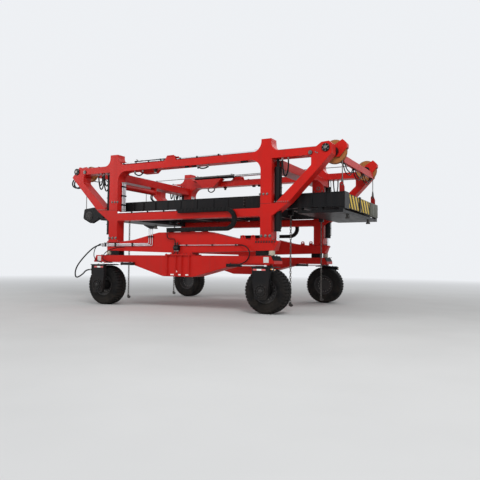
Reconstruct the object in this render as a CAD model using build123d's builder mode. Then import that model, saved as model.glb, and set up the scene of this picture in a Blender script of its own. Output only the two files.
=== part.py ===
"""Rubber tyred gantry crane: two side frames on steered wheels carry a lifting frame between them.

X runs along the travel, Y across it and Z up from the ground, in millimetres. The origin is on the
ground in the middle of the crane. The near side is -Y, and the far side is its mirror image.
"""
import os
from math import cos, radians, sin, tan

from build123d import *

os.makedirs("parts", exist_ok=True)

# Upper frame: columns, chords and braces, all cut from plates of one depth
COLUMN_X, COLUMN_WIDTH = 2760, 345
FRAME_INNER_Y, FRAME_OUTER_Y = 2015, 2365
COLUMN_FOOT_Z, SEAM_Z = 2020, 3060
MID_CHORD_Z = (2711, 2939)
TOP_CHORD_Z = (4320, 4530)
CROWN_TOP_Z, CROWN_INSET = 4885, 20
BRACE_FOOT_X = (3045, 3431)
ARM_TIP_X, ARM_CORNER_X = 4660, 4090
WING_BOTTOM_Z = 2700
SLEEVE_WALL, POST_CLEARANCE = 16, 8
POST_TOP_Z = 4700
FLANGE_OVERHANG, FLANGE_THICKNESS = 45, 28

# Sheaves at the arm tips, by the end's sign: x, z, radius and reach of the straps past the shaft
SHEAVE_ENDS = {-1: (-4375, 4450, 270, 530), 1: (4545, 4475, 335, 360)}
SHEAVE_Y, SHEAVE_WIDTH, SHAFT_RADIUS = 1695, 90, 125
ROPE_RADIUS, ROPE_PITCH_RADIUS, ROPE_TOP_Z = 13, 205, 4475
CHEEK_THICKNESS, CHEEK_GAP = 25, 12

# Members that tie the two side frames together
CROSS_BEAM_X, CROSS_BEAM_Z = (2650, 3120), (4050, 4300)
END_TIES = [((-4875, -4775), (4480, 4660)), ((4680, 4780), (4190, 4390))]

# Hoist cylinders on brackets along the inner faces of the top chords
HOIST_Y, HOIST_Z, HOIST_RADIUS, HOIST_ROD_RADIUS = 1850, 4665, 68, 38
HOIST_BARREL_X, HOIST_ROD_END_X = (-2280, -560), 2260
HOIST_STROKE, CROSSHEAD_LENGTH = 500, 90

# Undercarriage: a saddle beam on a rocking walking beam
SADDLE_INNER_Y, SADDLE_OUTER_Y = 1990, 2390
SADDLE_SEAT_Z = 2015
SADDLE_TOP_Z, SADDLE_BOTTOM_Z = 2300, 1680
NOSE_X, NOSE_FOOT_X, NOSE_FOOT_Z, KEEL_X = 3110, 2995, 1740, 575
WALK_INNER_Y, WALK_OUTER_Y = 1960, 2537
WALK_TOP_Z, WALK_ARM_Z, WALK_STEP_Z, WALK_LOW_Z = 1590, 1365, 1285, 955
WALK_STEP_X = 1735
PIVOT_PLATE_X, PIVOT_PLATE_Z = (-490, 440), (1590, 1625)
PIVOT_RIB_X = (-431, -112, 96, 369)

# Wheels and their forks
WHEEL_X, WHEEL_Y = 2880, 2420
TYRE_RADIUS, TYRE_WIDTH = 630, 480
LUG_DEPTH, LUG_COUNT, LUG_WIDTH = 34, 16, 112
RIM_RADIUS, RIM_HALF_WIDTH = 340, 195
LEG_Y, LEG_HALF, LEG_FOOT_Z = (2790, 2900), 265, 400
HUB_RADIUS = 187
FORK_PLATE_Z, TURNTABLE_RADIUS, TURNTABLE_HEIGHT = (1268, 1293), 130, 36
STEER_ROD_Y, STEER_ROD_Z = 2620, 1318
STEER_BARREL_X, STEER_BARREL_RADIUS, STEER_ROD_RADIUS = (1745, 2150), 40, 18

# Lift cylinders outboard of the columns
LIFT_X, LIFT_Y = 3050, 2190
LIFT_RADIUS, LIFT_ROD_RADIUS = 90, 50
LIFT_BARREL_Z = (2277, 4083)

# Energy chains from the mid chord down to the saddle beam, outside the frame's face
CHAIN_Y, CHAIN_DEPTH = (2375, 2475), 120
CHAIN_TOP_Z, CHAIN_BEND_X = 2995, 1520
CHAIN_UPPER_X, CHAIN_LOWER_X = -140, -535

# Pipes and hoses
FRAME_PIPE_RADIUS, PIPE_RADIUS, HOSE_RADIUS = 24, 11, 22

# Lifting frame
SPREADER_X = (-3720, 4840)
SPREADER_BEAM_Y, SPREADER_BEAM_Z = (1700, 1905), (2945, 3350)
DECK_Z = (2790, 2865)
SLING_X, SLING_Y = (-2900, 3100), 1350
SLING_TOP_Z, SLING_BOTTOM_Z = 2790, 240


def write(piece, node):
    """Label a finished piece and write its file."""
    piece.part.label = node
    export_step(piece.part, f"parts/{node}.step")


def write_pair(near, stem):
    """Write the near piece and its mirror image on the far side."""
    write(near, f"{stem}_near")
    with BuildPart() as far:
        mirror(near.part, about=Plane.XZ)
    write(far, f"{stem}_far")


def four_corners(x, y):
    """Signs and places of the four corners, as rows of sign of X, sign of Y, x and y."""
    return [(sx, sy, sx * x, sy * y) for sx in (-1, 1) for sy in (-1, 1)]


def both_ends(half, left=None):
    """Rows of a whole outline from the rows of its +X half and, where it differs, of its mirrored -X half."""
    return half + [(-x, z, radius) for x, z, radius in reversed(left or half)]


def plate(corners, y_range, mode=Mode.ADD):
    """Add or cut a plate between two Y planes, from rows of corner x, corner z and corner radius."""
    with BuildSketch(Plane.XZ.offset(-y_range[1])) as face:
        with BuildLine():
            Polyline(*[(x, z) for x, z, radius in corners], close=True)
        make_face()
        for x, z, radius in corners:
            if radius:
                fillet(face.vertices().sort_by_distance((x, z, 0))[0], radius)
    extrude(face.sketch, amount=y_range[1] - y_range[0], mode=mode)


def block(x_range, y_range, z_range, mode=Mode.ADD):
    """Add or cut a block between two X, two Y and two Z planes."""
    spans = [sorted(span) for span in (x_range, y_range, z_range)]
    with Locations(tuple((low + high) / 2 for low, high in spans)):
        Box(*[high - low for low, high in spans], mode=mode)


def bar(start, direction, length, radius, mode=Mode.ADD):
    """Add or cut a round bar from a start point."""
    with BuildSketch(Plane(origin=start, z_dir=direction)) as face:
        Circle(radius)
    extrude(face.sketch, amount=length, mode=mode)


def pipe(points, radius, bend):
    """Add a round pipe along a route of straight runs, from its points and one bend radius or a list."""
    with BuildLine() as route:
        FilletPolyline(*points, radius=bend)
    with BuildSketch(Plane(origin=route.line @ 0, z_dir=route.line % 0)) as section:
        Circle(radius)
    sweep(section.sketch, path=route.line)


def turned(centre, profile, mode=Mode.ADD):
    """Add or cut a body turned about a Y axis, from rows of radius and y from the centre."""
    with BuildSketch(Plane(origin=centre)) as face:
        with BuildLine():
            Polyline(*profile, close=True)
        make_face()
    revolve(face.sketch, axis=Axis(centre, (0, 1, 0)), mode=mode)


# Upper truss: top chord, crowned columns down to the seam, end arms and diagonal braces
COLUMN_IN, COLUMN_OUT = COLUMN_X - COLUMN_WIDTH / 2, COLUMN_X + COLUMN_WIDTH / 2
NEAR_FRAME_Y = (-FRAME_OUTER_Y, -FRAME_INNER_Y)
TRUSS_CROWN = [
    (COLUMN_IN + 10, TOP_CHORD_Z[1], 300),
    (COLUMN_IN + CROWN_INSET, CROWN_TOP_Z, 0),
    (COLUMN_OUT - CROWN_INSET, CROWN_TOP_Z, 0),
    (COLUMN_OUT, TOP_CHORD_Z[1], 240),
]
RIGHT_TIP = [(4222, 4530, 0), (4379, 4641, 0), (4586, 4653, 0), (ARM_TIP_X, 4587, 0), (ARM_TIP_X, 4320, 0)]
LEFT_TIP = [(4170, 4530, 0), (4280, 4592, 0), (4610, 4250, 30)]
TRUSS_BRACE = [
    (BRACE_FOOT_X[1], SEAM_Z, 0),
    (BRACE_FOOT_X[0], SEAM_Z, 0),
    (ARM_CORNER_X, 4042, 60),
    (ARM_CORNER_X, TOP_CHORD_Z[0], 100),
    (COLUMN_OUT, TOP_CHORD_Z[0], 0),
    (COLUMN_OUT, SEAM_Z, 0),
    (COLUMN_IN, SEAM_Z, 0),
    (COLUMN_IN, TOP_CHORD_Z[0], 320),
]


def sleeve_bores(z_range):
    """Cut the square bores that the inner posts run in."""
    half = COLUMN_WIDTH / 2 - SLEEVE_WALL
    y_range = (-FRAME_OUTER_Y + SLEEVE_WALL, -FRAME_INNER_Y - SLEEVE_WALL)
    for x in (-COLUMN_X, COLUMN_X):
        block((x - half, x + half), y_range, z_range, mode=Mode.SUBTRACT)


def barrel_ways(z_range):
    """Cut the round ways that the lift barrels stand in."""
    for x in (-LIFT_X, LIFT_X):
        start = (x, -LIFT_Y, z_range[0])
        bar(start, (0, 0, 1), z_range[1] - z_range[0], LIFT_RADIUS + 12, mode=Mode.SUBTRACT)


with BuildPart() as truss:
    halves = [TRUSS_CROWN + tip + TRUSS_BRACE for tip in (RIGHT_TIP, LEFT_TIP)]
    plate(both_ends(*halves), NEAR_FRAME_Y)
    sleeve_bores((SEAM_Z, POST_TOP_Z + 60))
    barrel_ways((SEAM_Z, LIFT_BARREL_Z[1] + 20))
    mirror(truss.part, about=Plane.XZ)
write(truss, "trusses")

# Lower frame: sleeves below the seam, wings under the braces and the mid chord between them
LOWER_HALF = [
    (COLUMN_IN, MID_CHORD_Z[1], 40),
    (COLUMN_IN, SEAM_Z, 0),
    (BRACE_FOOT_X[1], SEAM_Z, 0),
    (COLUMN_OUT, WING_BOTTOM_Z, 0),
    (COLUMN_OUT, COLUMN_FOOT_Z, 0),
    (COLUMN_IN, COLUMN_FOOT_Z, 0),
    (COLUMN_IN, MID_CHORD_Z[0], 60),
]
FLANGE_HALF = COLUMN_WIDTH / 2 + FLANGE_OVERHANG

with BuildPart() as lower_frame:
    plate(both_ends(LOWER_HALF), NEAR_FRAME_Y)
    for x in (-COLUMN_X, COLUMN_X):
        block(
            (x - FLANGE_HALF, x + FLANGE_HALF),
            (-FRAME_OUTER_Y - 20, -FRAME_INNER_Y + 20),
            (COLUMN_FOOT_Z, COLUMN_FOOT_Z + FLANGE_THICKNESS),
        )
    sleeve_bores((COLUMN_FOOT_Z, SEAM_Z))
    barrel_ways((LIFT_BARREL_Z[0], SEAM_Z))
    mirror(lower_frame.part, about=Plane.XZ)
write(lower_frame, "lower_frames")

# Members across the crane
with BuildPart() as cross_beams:
    for sign in (-1, 1):
        x_range = (sign * CROSS_BEAM_X[0], sign * CROSS_BEAM_X[1])
        block(x_range, (-FRAME_INNER_Y, FRAME_INNER_Y), CROSS_BEAM_Z)
    bar((-2750, -FRAME_INNER_Y, 3890), (0, 1, 0), FRAME_INNER_Y - 260, 95)
    block((-2860, -2640), (-260, -200), (3790, CROSS_BEAM_Z[0]))
write(cross_beams, "cross_beams")

# Sheaves: grooved discs on fixed shafts that stand in from the arm tips
def sheave_profile(radius):
    """Rows of radius and y of a grooved disc with a dished web and a hub."""
    groove = ROPE_PITCH_RADIUS - ROPE_RADIUS - 2
    half = [(SHAFT_RADIUS, 45), (165, 28), (groove - 12, 28), (radius, 45), (groove, ROPE_RADIUS + 3)]
    return half + [(across, -y) for across, y in reversed(half)]


with BuildPart() as sheaves:
    for x, z, radius, reach in SHEAVE_ENDS.values():
        for y in (-SHEAVE_Y, SHEAVE_Y):
            turned((x, y, z), sheave_profile(radius))
write(sheaves, "sheaves")

# Fixed shafts, and the caps of shaft and tie bolt on the frame's outer face: end's sign, x, z and radius
SHAFT_INNER_Y = SHEAVE_Y - SHEAVE_WIDTH / 2 - CHEEK_GAP - CHEEK_THICKNESS
CAP_ROWS = [(1, 4500, 4480, 110), (1, 4073, 4378, 60), (-1, -4395, 4435, 110), (-1, -4030, 4400, 60)]
CAP_THICKNESS = 28

with BuildPart() as sheave_shafts:
    for sy in (-1, 1):
        for x, z, radius, reach in SHEAVE_ENDS.values():
            bar((x, sy * SHAFT_INNER_Y, z), (0, sy, 0), FRAME_INNER_Y - SHAFT_INNER_Y, SHAFT_RADIUS)
        for sx, x, z, radius in CAP_ROWS:
            bar((x, sy * FRAME_OUTER_Y, z), (0, sy, 0), CAP_THICKNESS, radius)
write(sheave_shafts, "sheave_shafts")

# Sheave forks: a strap on each face of the sheave, joined beyond its rim
STRAP_INNER_Y = (SHAFT_INNER_Y, SHAFT_INNER_Y + CHEEK_THICKNESS)
STRAP_OUTER_Y = tuple(2 * SHEAVE_Y - y for y in reversed(STRAP_INNER_Y))
GUARD_LENGTH = 17

with BuildPart() as sheave_forks:
    for sx, (x, z, radius, reach) in SHEAVE_ENDS.items():
        rows = [(-60, -150, 40), (150, -150, 0), (reach, reach / 4, 0), (reach, reach / 4 + 100, 0)]
        rows += [(radius - 105, radius - 5, 0), (-60, 150, 40)]
        corners = [(x + sx * dx, z + dz, rounding) for dx, dz, rounding in rows]
        for sy in (-1, 1):
            for low, high in (STRAP_INNER_Y, STRAP_OUTER_Y):
                plate(corners, sorted((sy * low, sy * high)))
                bar((x, sy * low, z), (0, sy, 0), high - low, SHAFT_RADIUS, mode=Mode.SUBTRACT)
            block(
                (x + sx * (reach - GUARD_LENGTH), x + sx * reach),
                (sy * STRAP_INNER_Y[0], sy * STRAP_OUTER_Y[1]),
                (z + reach / 4, z + reach / 4 + 100),
            )
write(sheave_forks, "sheave_forks")

with BuildPart() as end_ties:
    for x_range, z_range in END_TIES:
        block(x_range, (-SHAFT_INNER_Y, SHAFT_INNER_Y), z_range)
write(end_ties, "end_ties")

# Hoist cylinders with their brackets and rods
BRACKET_Y = (HOIST_Y - 110, FRAME_INNER_Y)
HOIST_SEAT_Z = HOIST_Z - HOIST_RADIUS
with BuildPart() as hoist_brackets:
    for sy in (-1, 1):
        rows = [(-2250, HOIST_SEAT_Z, 0), (-1050, HOIST_SEAT_Z, 0), (-1420, 4270, 60), (-1900, 4270, 60)]
        plate(rows, sorted((sy * BRACKET_Y[0], sy * BRACKET_Y[1])))
write(hoist_brackets, "hoist_brackets")

with BuildPart() as hoist_barrels:
    for sy in (-1, 1):
        start = (HOIST_BARREL_X[0], sy * HOIST_Y, HOIST_Z)
        length = HOIST_BARREL_X[1] - HOIST_BARREL_X[0]
        bar(start, (1, 0, 0), length, HOIST_RADIUS)
        bar(start, (1, 0, 0), length, HOIST_ROD_RADIUS + 1, mode=Mode.SUBTRACT)
write(hoist_barrels, "hoist_barrels")

with BuildPart() as hoist_rods:
    for sy in (-1, 1):
        start = (HOIST_BARREL_X[0] + HOIST_STROKE, sy * HOIST_Y, HOIST_Z)
        bar(start, (1, 0, 0), HOIST_ROD_END_X - start[0], HOIST_ROD_RADIUS)
        block(
            (HOIST_ROD_END_X - CROSSHEAD_LENGTH, HOIST_ROD_END_X),
            (sy * (SHEAVE_Y - 40), sy * (HOIST_Y + 60)),
            (HOIST_Z - 60, HOIST_Z + 60),
        )
write(hoist_rods, "hoist_rods")

with BuildPart() as crosshead_ropes:
    for sy in (-1, 1):
        start = (HOIST_ROD_END_X, sy * SHEAVE_Y, SHEAVE_ENDS[1][1] + ROPE_PITCH_RADIUS)
        bar(start, (1, 0, 0), SHEAVE_ENDS[1][0] - HOIST_ROD_END_X, ROPE_RADIUS)
        bar(start, (1, 0, 0), 110, 2 * ROPE_RADIUS)
write(crosshead_ropes, "crosshead_ropes")

# Lift cylinders: barrels hung from the arms, rods standing on the saddle noses
with BuildPart() as lift_barrels:
    for sx, sy, x, y in four_corners(LIFT_X, LIFT_Y):
        length = LIFT_BARREL_Z[1] - LIFT_BARREL_Z[0]
        bar((x, y, LIFT_BARREL_Z[0]), (0, 0, 1), length, LIFT_RADIUS)
        bar((x, y, LIFT_BARREL_Z[0]), (0, 0, 1), length - 80, LIFT_ROD_RADIUS + 2, mode=Mode.SUBTRACT)
        bar((x, y, LIFT_BARREL_Z[1]), (0, 0, 1), TOP_CHORD_Z[0] - LIFT_BARREL_Z[1], 45)
write(lift_barrels, "lift_barrels")

with BuildPart() as lift_rods:
    for x in (-LIFT_X, LIFT_X):
        bar((x, -LIFT_Y, SADDLE_SEAT_Z), (0, 0, 1), LIFT_BARREL_Z[1] - 120 - SADDLE_SEAT_Z, LIFT_ROD_RADIUS)
        bar((x, -LIFT_Y, SADDLE_SEAT_Z), (0, 0, 1), 60, NOSE_X - LIFT_X)
write_pair(lift_rods, "lift_rods")

# Saddle beam under the columns, with a nose at each end that the lift rods stand on
SADDLE_HALF = [
    (886, SADDLE_TOP_Z, 0),
    (1842, 2085, 300),
    (2480, SADDLE_SEAT_Z, 0),
    (NOSE_X, SADDLE_SEAT_Z, 0),
    (NOSE_X, SADDLE_SEAT_Z - 40, 0),
    (NOSE_FOOT_X, NOSE_FOOT_Z, 0),
    (2850, NOSE_FOOT_Z, 0),
    (KEEL_X, SADDLE_BOTTOM_Z, 0),
]


def line_z(row, x):
    """Height of the saddle beam's outline at x, on the edge that starts at a row of the table."""
    (x_start, z_start, _), (x_end, z_end, _) = SADDLE_HALF[row : row + 2]
    return z_start + (x - x_start) * (z_end - z_start) / (x_end - x_start)


def slope_z(x):
    """Height of the slope beside the column's seat."""
    return line_z(1, x)


def belly_z(x):
    """Height of the saddle beam's underside."""
    return line_z(6, x)


# Corners cut off the noses in plan, as rows of x and y
NOSE_CUTS = [
    [(2940, -SADDLE_OUTER_Y), (NOSE_X, -2250), (NOSE_X, -SADDLE_OUTER_Y)],
    [(3010, -SADDLE_INNER_Y), (NOSE_X, -2110), (NOSE_X, -SADDLE_INNER_Y)],
]

with BuildPart() as saddle_beam:
    plate(both_ends(SADDLE_HALF), (-SADDLE_OUTER_Y, -SADDLE_INNER_Y))
    for sx in (-1, 1):
        for corners in NOSE_CUTS:
            with BuildSketch(Plane.XY.offset(SADDLE_SEAT_Z)) as corner:
                with BuildLine():
                    Polyline(*[(sx * x, y) for x, y in corners], close=True)
                make_face()
            extrude(corner.sketch, amount=SADDLE_BOTTOM_Z - SADDLE_SEAT_Z, mode=Mode.SUBTRACT)
write_pair(saddle_beam, "saddle_beam")

with BuildPart() as inner_posts:
    half_x = COLUMN_WIDTH / 2 - SLEEVE_WALL - POST_CLEARANCE
    y_range = (-FRAME_OUTER_Y + SLEEVE_WALL + POST_CLEARANCE, -FRAME_INNER_Y - SLEEVE_WALL - POST_CLEARANCE)
    for x in (-COLUMN_X, COLUMN_X):
        block((x - half_x, x + half_x), y_range, (SADDLE_SEAT_Z, POST_TOP_Z))
write_pair(inner_posts, "inner_posts")

# Walking beam: straight arms over the wheels, a deep belly and a pivot bracket in the middle
MAT_TOP_X, MAT_LOW_X, MAT_Z, MAT_THICKNESS = 3010, 3080, 1457, 25
TAIL_TOP_X, TAIL_LOW_X = -3280, -3400
WALK_OUTLINE = [
    (MAT_TOP_X, WALK_TOP_Z, 0),
    (MAT_LOW_X, MAT_Z, 0),
    (MAT_LOW_X + MAT_THICKNESS, MAT_Z, 0),
    (MAT_LOW_X + MAT_THICKNESS, WALK_ARM_Z, 0),
    (WALK_STEP_X, WALK_ARM_Z, 0),
    (WALK_STEP_X, WALK_STEP_Z, 0),
    (480, WALK_LOW_Z, 200),
    (-590, WALK_LOW_Z, 200),
    (-WALK_STEP_X, WALK_STEP_Z, 0),
    (-WALK_STEP_X, WALK_ARM_Z, 0),
    (TAIL_LOW_X, WALK_ARM_Z, 30),
    (TAIL_TOP_X, WALK_TOP_Z, 0),
]
NEAR_WALK_Y = (-WALK_OUTER_Y, -WALK_INNER_Y)

with BuildPart() as walking_beam:
    plate(WALK_OUTLINE, NEAR_WALK_Y)
    block(PIVOT_PLATE_X, (-WALK_OUTER_Y - 50, -SADDLE_INNER_Y), PIVOT_PLATE_Z)
    block((-400, 350), (-SADDLE_OUTER_Y, -SADDLE_INNER_Y), (PIVOT_PLATE_Z[1], SADDLE_BOTTOM_Z))
    for x in PIVOT_RIB_X:
        block((x - 10, x + 10), (-WALK_OUTER_Y - 45, -WALK_OUTER_Y), (WALK_LOW_Z + 30, PIVOT_PLATE_Z[0]))
    for x in (-WHEEL_X, WHEEL_X):
        ring_z = FORK_PLATE_Z[1] + TURNTABLE_HEIGHT + 5
        bar((x, -WHEEL_Y, ring_z), (0, 0, 1), WALK_ARM_Z - ring_z, TURNTABLE_RADIUS)
write_pair(walking_beam, "walking_beam")

# Rubber: the mat on the slanted +X end, and the pads and spring posts under the saddle beam's noses
PAD_X, SPRING_X, SPRING_RADIUS = (2471, 2781), 2930, 80
with BuildPart() as rubber_pads:
    rows = [(MAT_TOP_X, WALK_TOP_Z, 0), (MAT_TOP_X + MAT_THICKNESS, WALK_TOP_Z, 0)]
    rows += [(MAT_LOW_X + MAT_THICKNESS, MAT_Z, 0), (MAT_LOW_X, MAT_Z, 0)]
    plate(rows, NEAR_WALK_Y)
    for sign in (-1, 1):
        rows = [(sign * x, WALK_TOP_Z, 0) for x in PAD_X]
        rows += [(sign * x, belly_z(x), 0) for x in reversed(PAD_X)]
        plate(rows, (-2385, -2115))
        start = (sign * SPRING_X, -2300, WALK_TOP_Z)
        bar(start, (0, 0, 1), NOSE_FOOT_Z - WALK_TOP_Z, SPRING_RADIUS)
write_pair(rubber_pads, "rubber_pads")

# Lifting lugs that stand on the saddle beam's slope, each with a bore for a shackle's pin
LUG_X, LUG_Y, LUG_TOP_Z = (2055, 2366), (2330, 2360), 2180
LUG_BORE, LUG_BORE_Z = 26, 2132

with BuildPart() as lifting_lugs:
    for x in LUG_X:
        rows = [(x - 75, slope_z(x - 75), 0), (x + 75, slope_z(x + 75), 0)]
        plate(rows + [(x + 50, LUG_TOP_Z, 40), (x - 50, LUG_TOP_Z, 40)], (-LUG_Y[1], -LUG_Y[0]))
        bar((x, -LUG_Y[1], LUG_BORE_Z), (0, 1, 0), LUG_Y[1] - LUG_Y[0], LUG_BORE, mode=Mode.SUBTRACT)
write_pair(lifting_lugs, "lifting_lugs")

# Steering cylinders under the walking beam's arms
with BuildPart() as steer_barrels:
    for sign in (-1, 1):
        start = (sign * STEER_BARREL_X[0], -STEER_ROD_Y, STEER_ROD_Z)
        length = STEER_BARREL_X[1] - STEER_BARREL_X[0]
        bar(start, (sign, 0, 0), length, STEER_BARREL_RADIUS)
        bar(start, (sign, 0, 0), length, STEER_ROD_RADIUS + 1, mode=Mode.SUBTRACT)
        block(
            (sign * (WALK_STEP_X - 60), sign * (STEER_BARREL_X[0] + 20)),
            (-STEER_ROD_Y - 40, -WALK_OUTER_Y),
            (STEER_ROD_Z - 45, STEER_ROD_Z + 45),
        )
    block((-275, -75), (-SADDLE_OUTER_Y - 70, -SADDLE_OUTER_Y), (1745, 1900))
    block((-245, -105), (-SADDLE_OUTER_Y - 110, -SADDLE_OUTER_Y - 70), (1770, 1875))
write_pair(steer_barrels, "steer_barrels")

# Wheels: tyre and rim, each turned about the axle line, with a ring of tread lugs on each shoulder
TREAD_HALF, TREAD_BORE = 205, 450
TYRE_HALF = [
    (RIM_RADIUS, RIM_HALF_WIDTH),
    (430, TYRE_WIDTH / 2),
    (452, TYRE_WIDTH / 2),
    (560, 226),
    (583, TREAD_HALF),
]
RIM_HALF = [(RIM_RADIUS, RIM_HALF_WIDTH), (RIM_RADIUS - 22, RIM_HALF_WIDTH), (297, 120), (281, 34), (0, 34)]
# Axle, hub ring and hub cap of a fork, as rows of radius and distance out from the wheel's middle
HUB_ROWS = [(0, 40), (157, 40), (157, 330), (HUB_RADIUS, 330), (HUB_RADIUS, 494)]
HUB_ROWS += [(150, 494), (150, 480), (122, 480), (122, 504), (0, 504)]
LEG_ROWS = [
    (LEG_HALF, FORK_PLATE_Z[1], 0),
    (LEG_HALF, 1140, 0),
    (185, LEG_FOOT_Z, 90),
    (-185, LEG_FOOT_Z, 90),
    (-LEG_HALF, 1000, 60),
    (-LEG_HALF, FORK_PLATE_Z[1], 0),
]
CORNER_NAMES = {(-1, -1): "near_left", (1, -1): "near_right", (-1, 1): "far_left", (1, 1): "far_right"}
GLAND_RADIUS, GLAND_Y, GLAND_Z = 34, 2845, 1120
GLAND_FACE_X = WHEEL_X + LEG_HALF + 45

def tread_ring(x, y_range, first_angle):
    """Add a ring of lugs about an axle, from the angle of its first lug."""
    base, half = TYRE_RADIUS - LUG_DEPTH, LUG_WIDTH / 2
    rows = []
    for lug in range(LUG_COUNT):
        angle = radians(first_angle + 360 * lug / LUG_COUNT)
        for out, across in ((base, -half), (TYRE_RADIUS, -half), (TYRE_RADIUS, half), (base, half)):
            corner_x = x + out * cos(angle) - across * sin(angle)
            rows.append((corner_x, TYRE_RADIUS + out * sin(angle) + across * cos(angle), 0))
    plate(rows, y_range)


for sx, sy, x, y in four_corners(WHEEL_X, WHEEL_Y):
    corner = CORNER_NAMES[sx, sy]
    centre = (x, y, TYRE_RADIUS)
    with BuildPart() as tyre:
        tread_ring(x, (y - TREAD_HALF, y), -90)
        tread_ring(x, (y, y + TREAD_HALF), -90 + 180 / LUG_COUNT)
        start = (x, y - TREAD_HALF, TYRE_RADIUS)
        bar(start, (0, 1, 0), 2 * TREAD_HALF, TREAD_BORE, mode=Mode.SUBTRACT)
        turned(centre, TYRE_HALF + [(radius, -across) for radius, across in reversed(TYRE_HALF)])
    write(tyre, f"tyre_{corner}")
    with BuildPart() as rim:
        turned(centre, RIM_HALF + [(radius, -across) for radius, across in reversed(RIM_HALF)])
    write(rim, f"rim_{corner}")

    with BuildPart() as fork:
        block((x - 300, x + 300), (sy * (WHEEL_Y - 170), sy * LEG_Y[1]), FORK_PLATE_Z)
        leg = [(x + sx * dx, z, radius) for dx, z, radius in LEG_ROWS]
        plate(leg, sorted((sy * LEG_Y[0], sy * LEG_Y[1])))
        turned(centre, [(radius, sy * out) for radius, out in HUB_ROWS])
        bar((x, y, FORK_PLATE_Z[1]), (0, 0, 1), TURNTABLE_HEIGHT, TURNTABLE_RADIUS)
        if sx < 0:
            bar((-GLAND_FACE_X, sy * GLAND_Y, GLAND_Z), (1, 0, 0), 60, GLAND_RADIUS)
        else:
            block((x + LEG_HALF, x + LEG_HALF + 90), (sy * 2800, sy * 2860), (1165, 1265))
    write(fork, f"fork_{corner}")

    with BuildPart() as steer_rod:
        start = (sx * (STEER_BARREL_X[0] + 160), sy * STEER_ROD_Y, STEER_ROD_Z)
        bar(start, (sx, 0, 0), WHEEL_X - 30 - abs(start[0]), STEER_ROD_RADIUS)
        bar((x, sy * STEER_ROD_Y, STEER_ROD_Z - 21), (0, 0, 1), 42, 40)
    write(steer_rod, f"steer_rod_{corner}")

# Lifting frame: two ribbed side beams, cross beams and an end deck on each side
RIB_X = (-2650, -2250, -1870, -1390, 3130, 3540, 3950, 4342)
CROSS_X = (-3640, -2900, -1390, 0, 1850, 3100, 3610, 4740)
BEAM_IN, BEAM_OUT = SPREADER_BEAM_Y

with BuildPart() as spreader_frame:
    for sy in (-1, 1):
        block(SPREADER_X, (sy * BEAM_IN, sy * BEAM_OUT), SPREADER_BEAM_Z)
        for x in RIB_X:
            block((x - 12, x + 12), (sy * BEAM_OUT, sy * (BEAM_OUT + 32)), SPREADER_BEAM_Z)
    for x in CROSS_X:
        block((x - 80, x + 80), (-BEAM_IN, BEAM_IN), (SPREADER_BEAM_Z[0], SPREADER_BEAM_Z[1] - 60))
    for y_range in ((-1900, -1480), (-370, -260)):
        block((SPREADER_X[1], SPREADER_X[1] + 45), y_range, (2900, 3360))
write(spreader_frame, "spreader_frame")

with BuildPart() as spreader_decks:
    for x_range in ((SPREADER_X[0], -2780), (3530, SPREADER_X[1])):
        block(x_range, (-BEAM_OUT, BEAM_OUT), DECK_Z)
        for x in (x_range[0] + 60, (x_range[0] + x_range[1]) / 2, x_range[1] - 60):
            for sy in (-1, 1):
                block((x - 60, x + 60), (sy * BEAM_IN, sy * BEAM_OUT), (DECK_Z[1], SPREADER_BEAM_Z[0]))
    for x in SLING_X:
        for sy in (-1, 1):
            y_range = (sy * (SLING_Y - 60), sy * (SLING_Y + 60))
            block((x - 70, x + 70), y_range, (SLING_TOP_Z, SPREADER_BEAM_Z[0]))
write(spreader_decks, "spreader_decks")

# Warning panels and box on the +X end face of the lifting frame
with BuildPart() as end_panels:
    for y_range in ((-1430, -400), (-230, 800)):
        block((SPREADER_X[1], SPREADER_X[1] + 30), y_range, (2930, 3330))
    block((SPREADER_X[1], SPREADER_X[1] + 60), (860, 1800), (2900, 3330))
write(end_panels, "end_panels")

# Twist locks under the ends of the lifting frame
with BuildPart() as twist_locks:
    for x in (-3640, 4740):
        for y in (-1130, 1130):
            bar((x, y, DECK_Z[0]), (0, 0, -1), 70, 45)
            block((x - 60, x + 60), (y - 35, y + 35), (DECK_Z[0] - 120, DECK_Z[0] - 70))
write(twist_locks, "twist_locks")

# Rope anchors on the lifting frame: plates at the +X corners, blocks with a sheave at the -X corners
ROPE_X = [x + sx * ROPE_PITCH_RADIUS for sx, (x, z, radius, reach) in SHEAVE_ENDS.items()]
ANCHOR_TOP_Z = 3640
ANCHOR_ROWS = [(-70, 3350, 0), (70, 3350, 0), (70, 3500, 60), (20, ANCHOR_TOP_Z, 20), (-70, ANCHOR_TOP_Z, 60)]
with BuildPart() as rope_anchors:
    for sy in (-1, 1):
        rows = [(ROPE_X[1] + dx, z, radius) for dx, z, radius in ANCHOR_ROWS]
        plate(rows, sorted((sy * 1705, sy * 1735)))
        rows = [(3910, 3350, 0), (4270, 3350, 0), (4220, 3590, 150), (4060, 3720, 60), (3910, 3720, 40)]
        plate(rows, sorted((sy * 1740, sy * 1765)))
write(rope_anchors, "rope_anchors")

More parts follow.
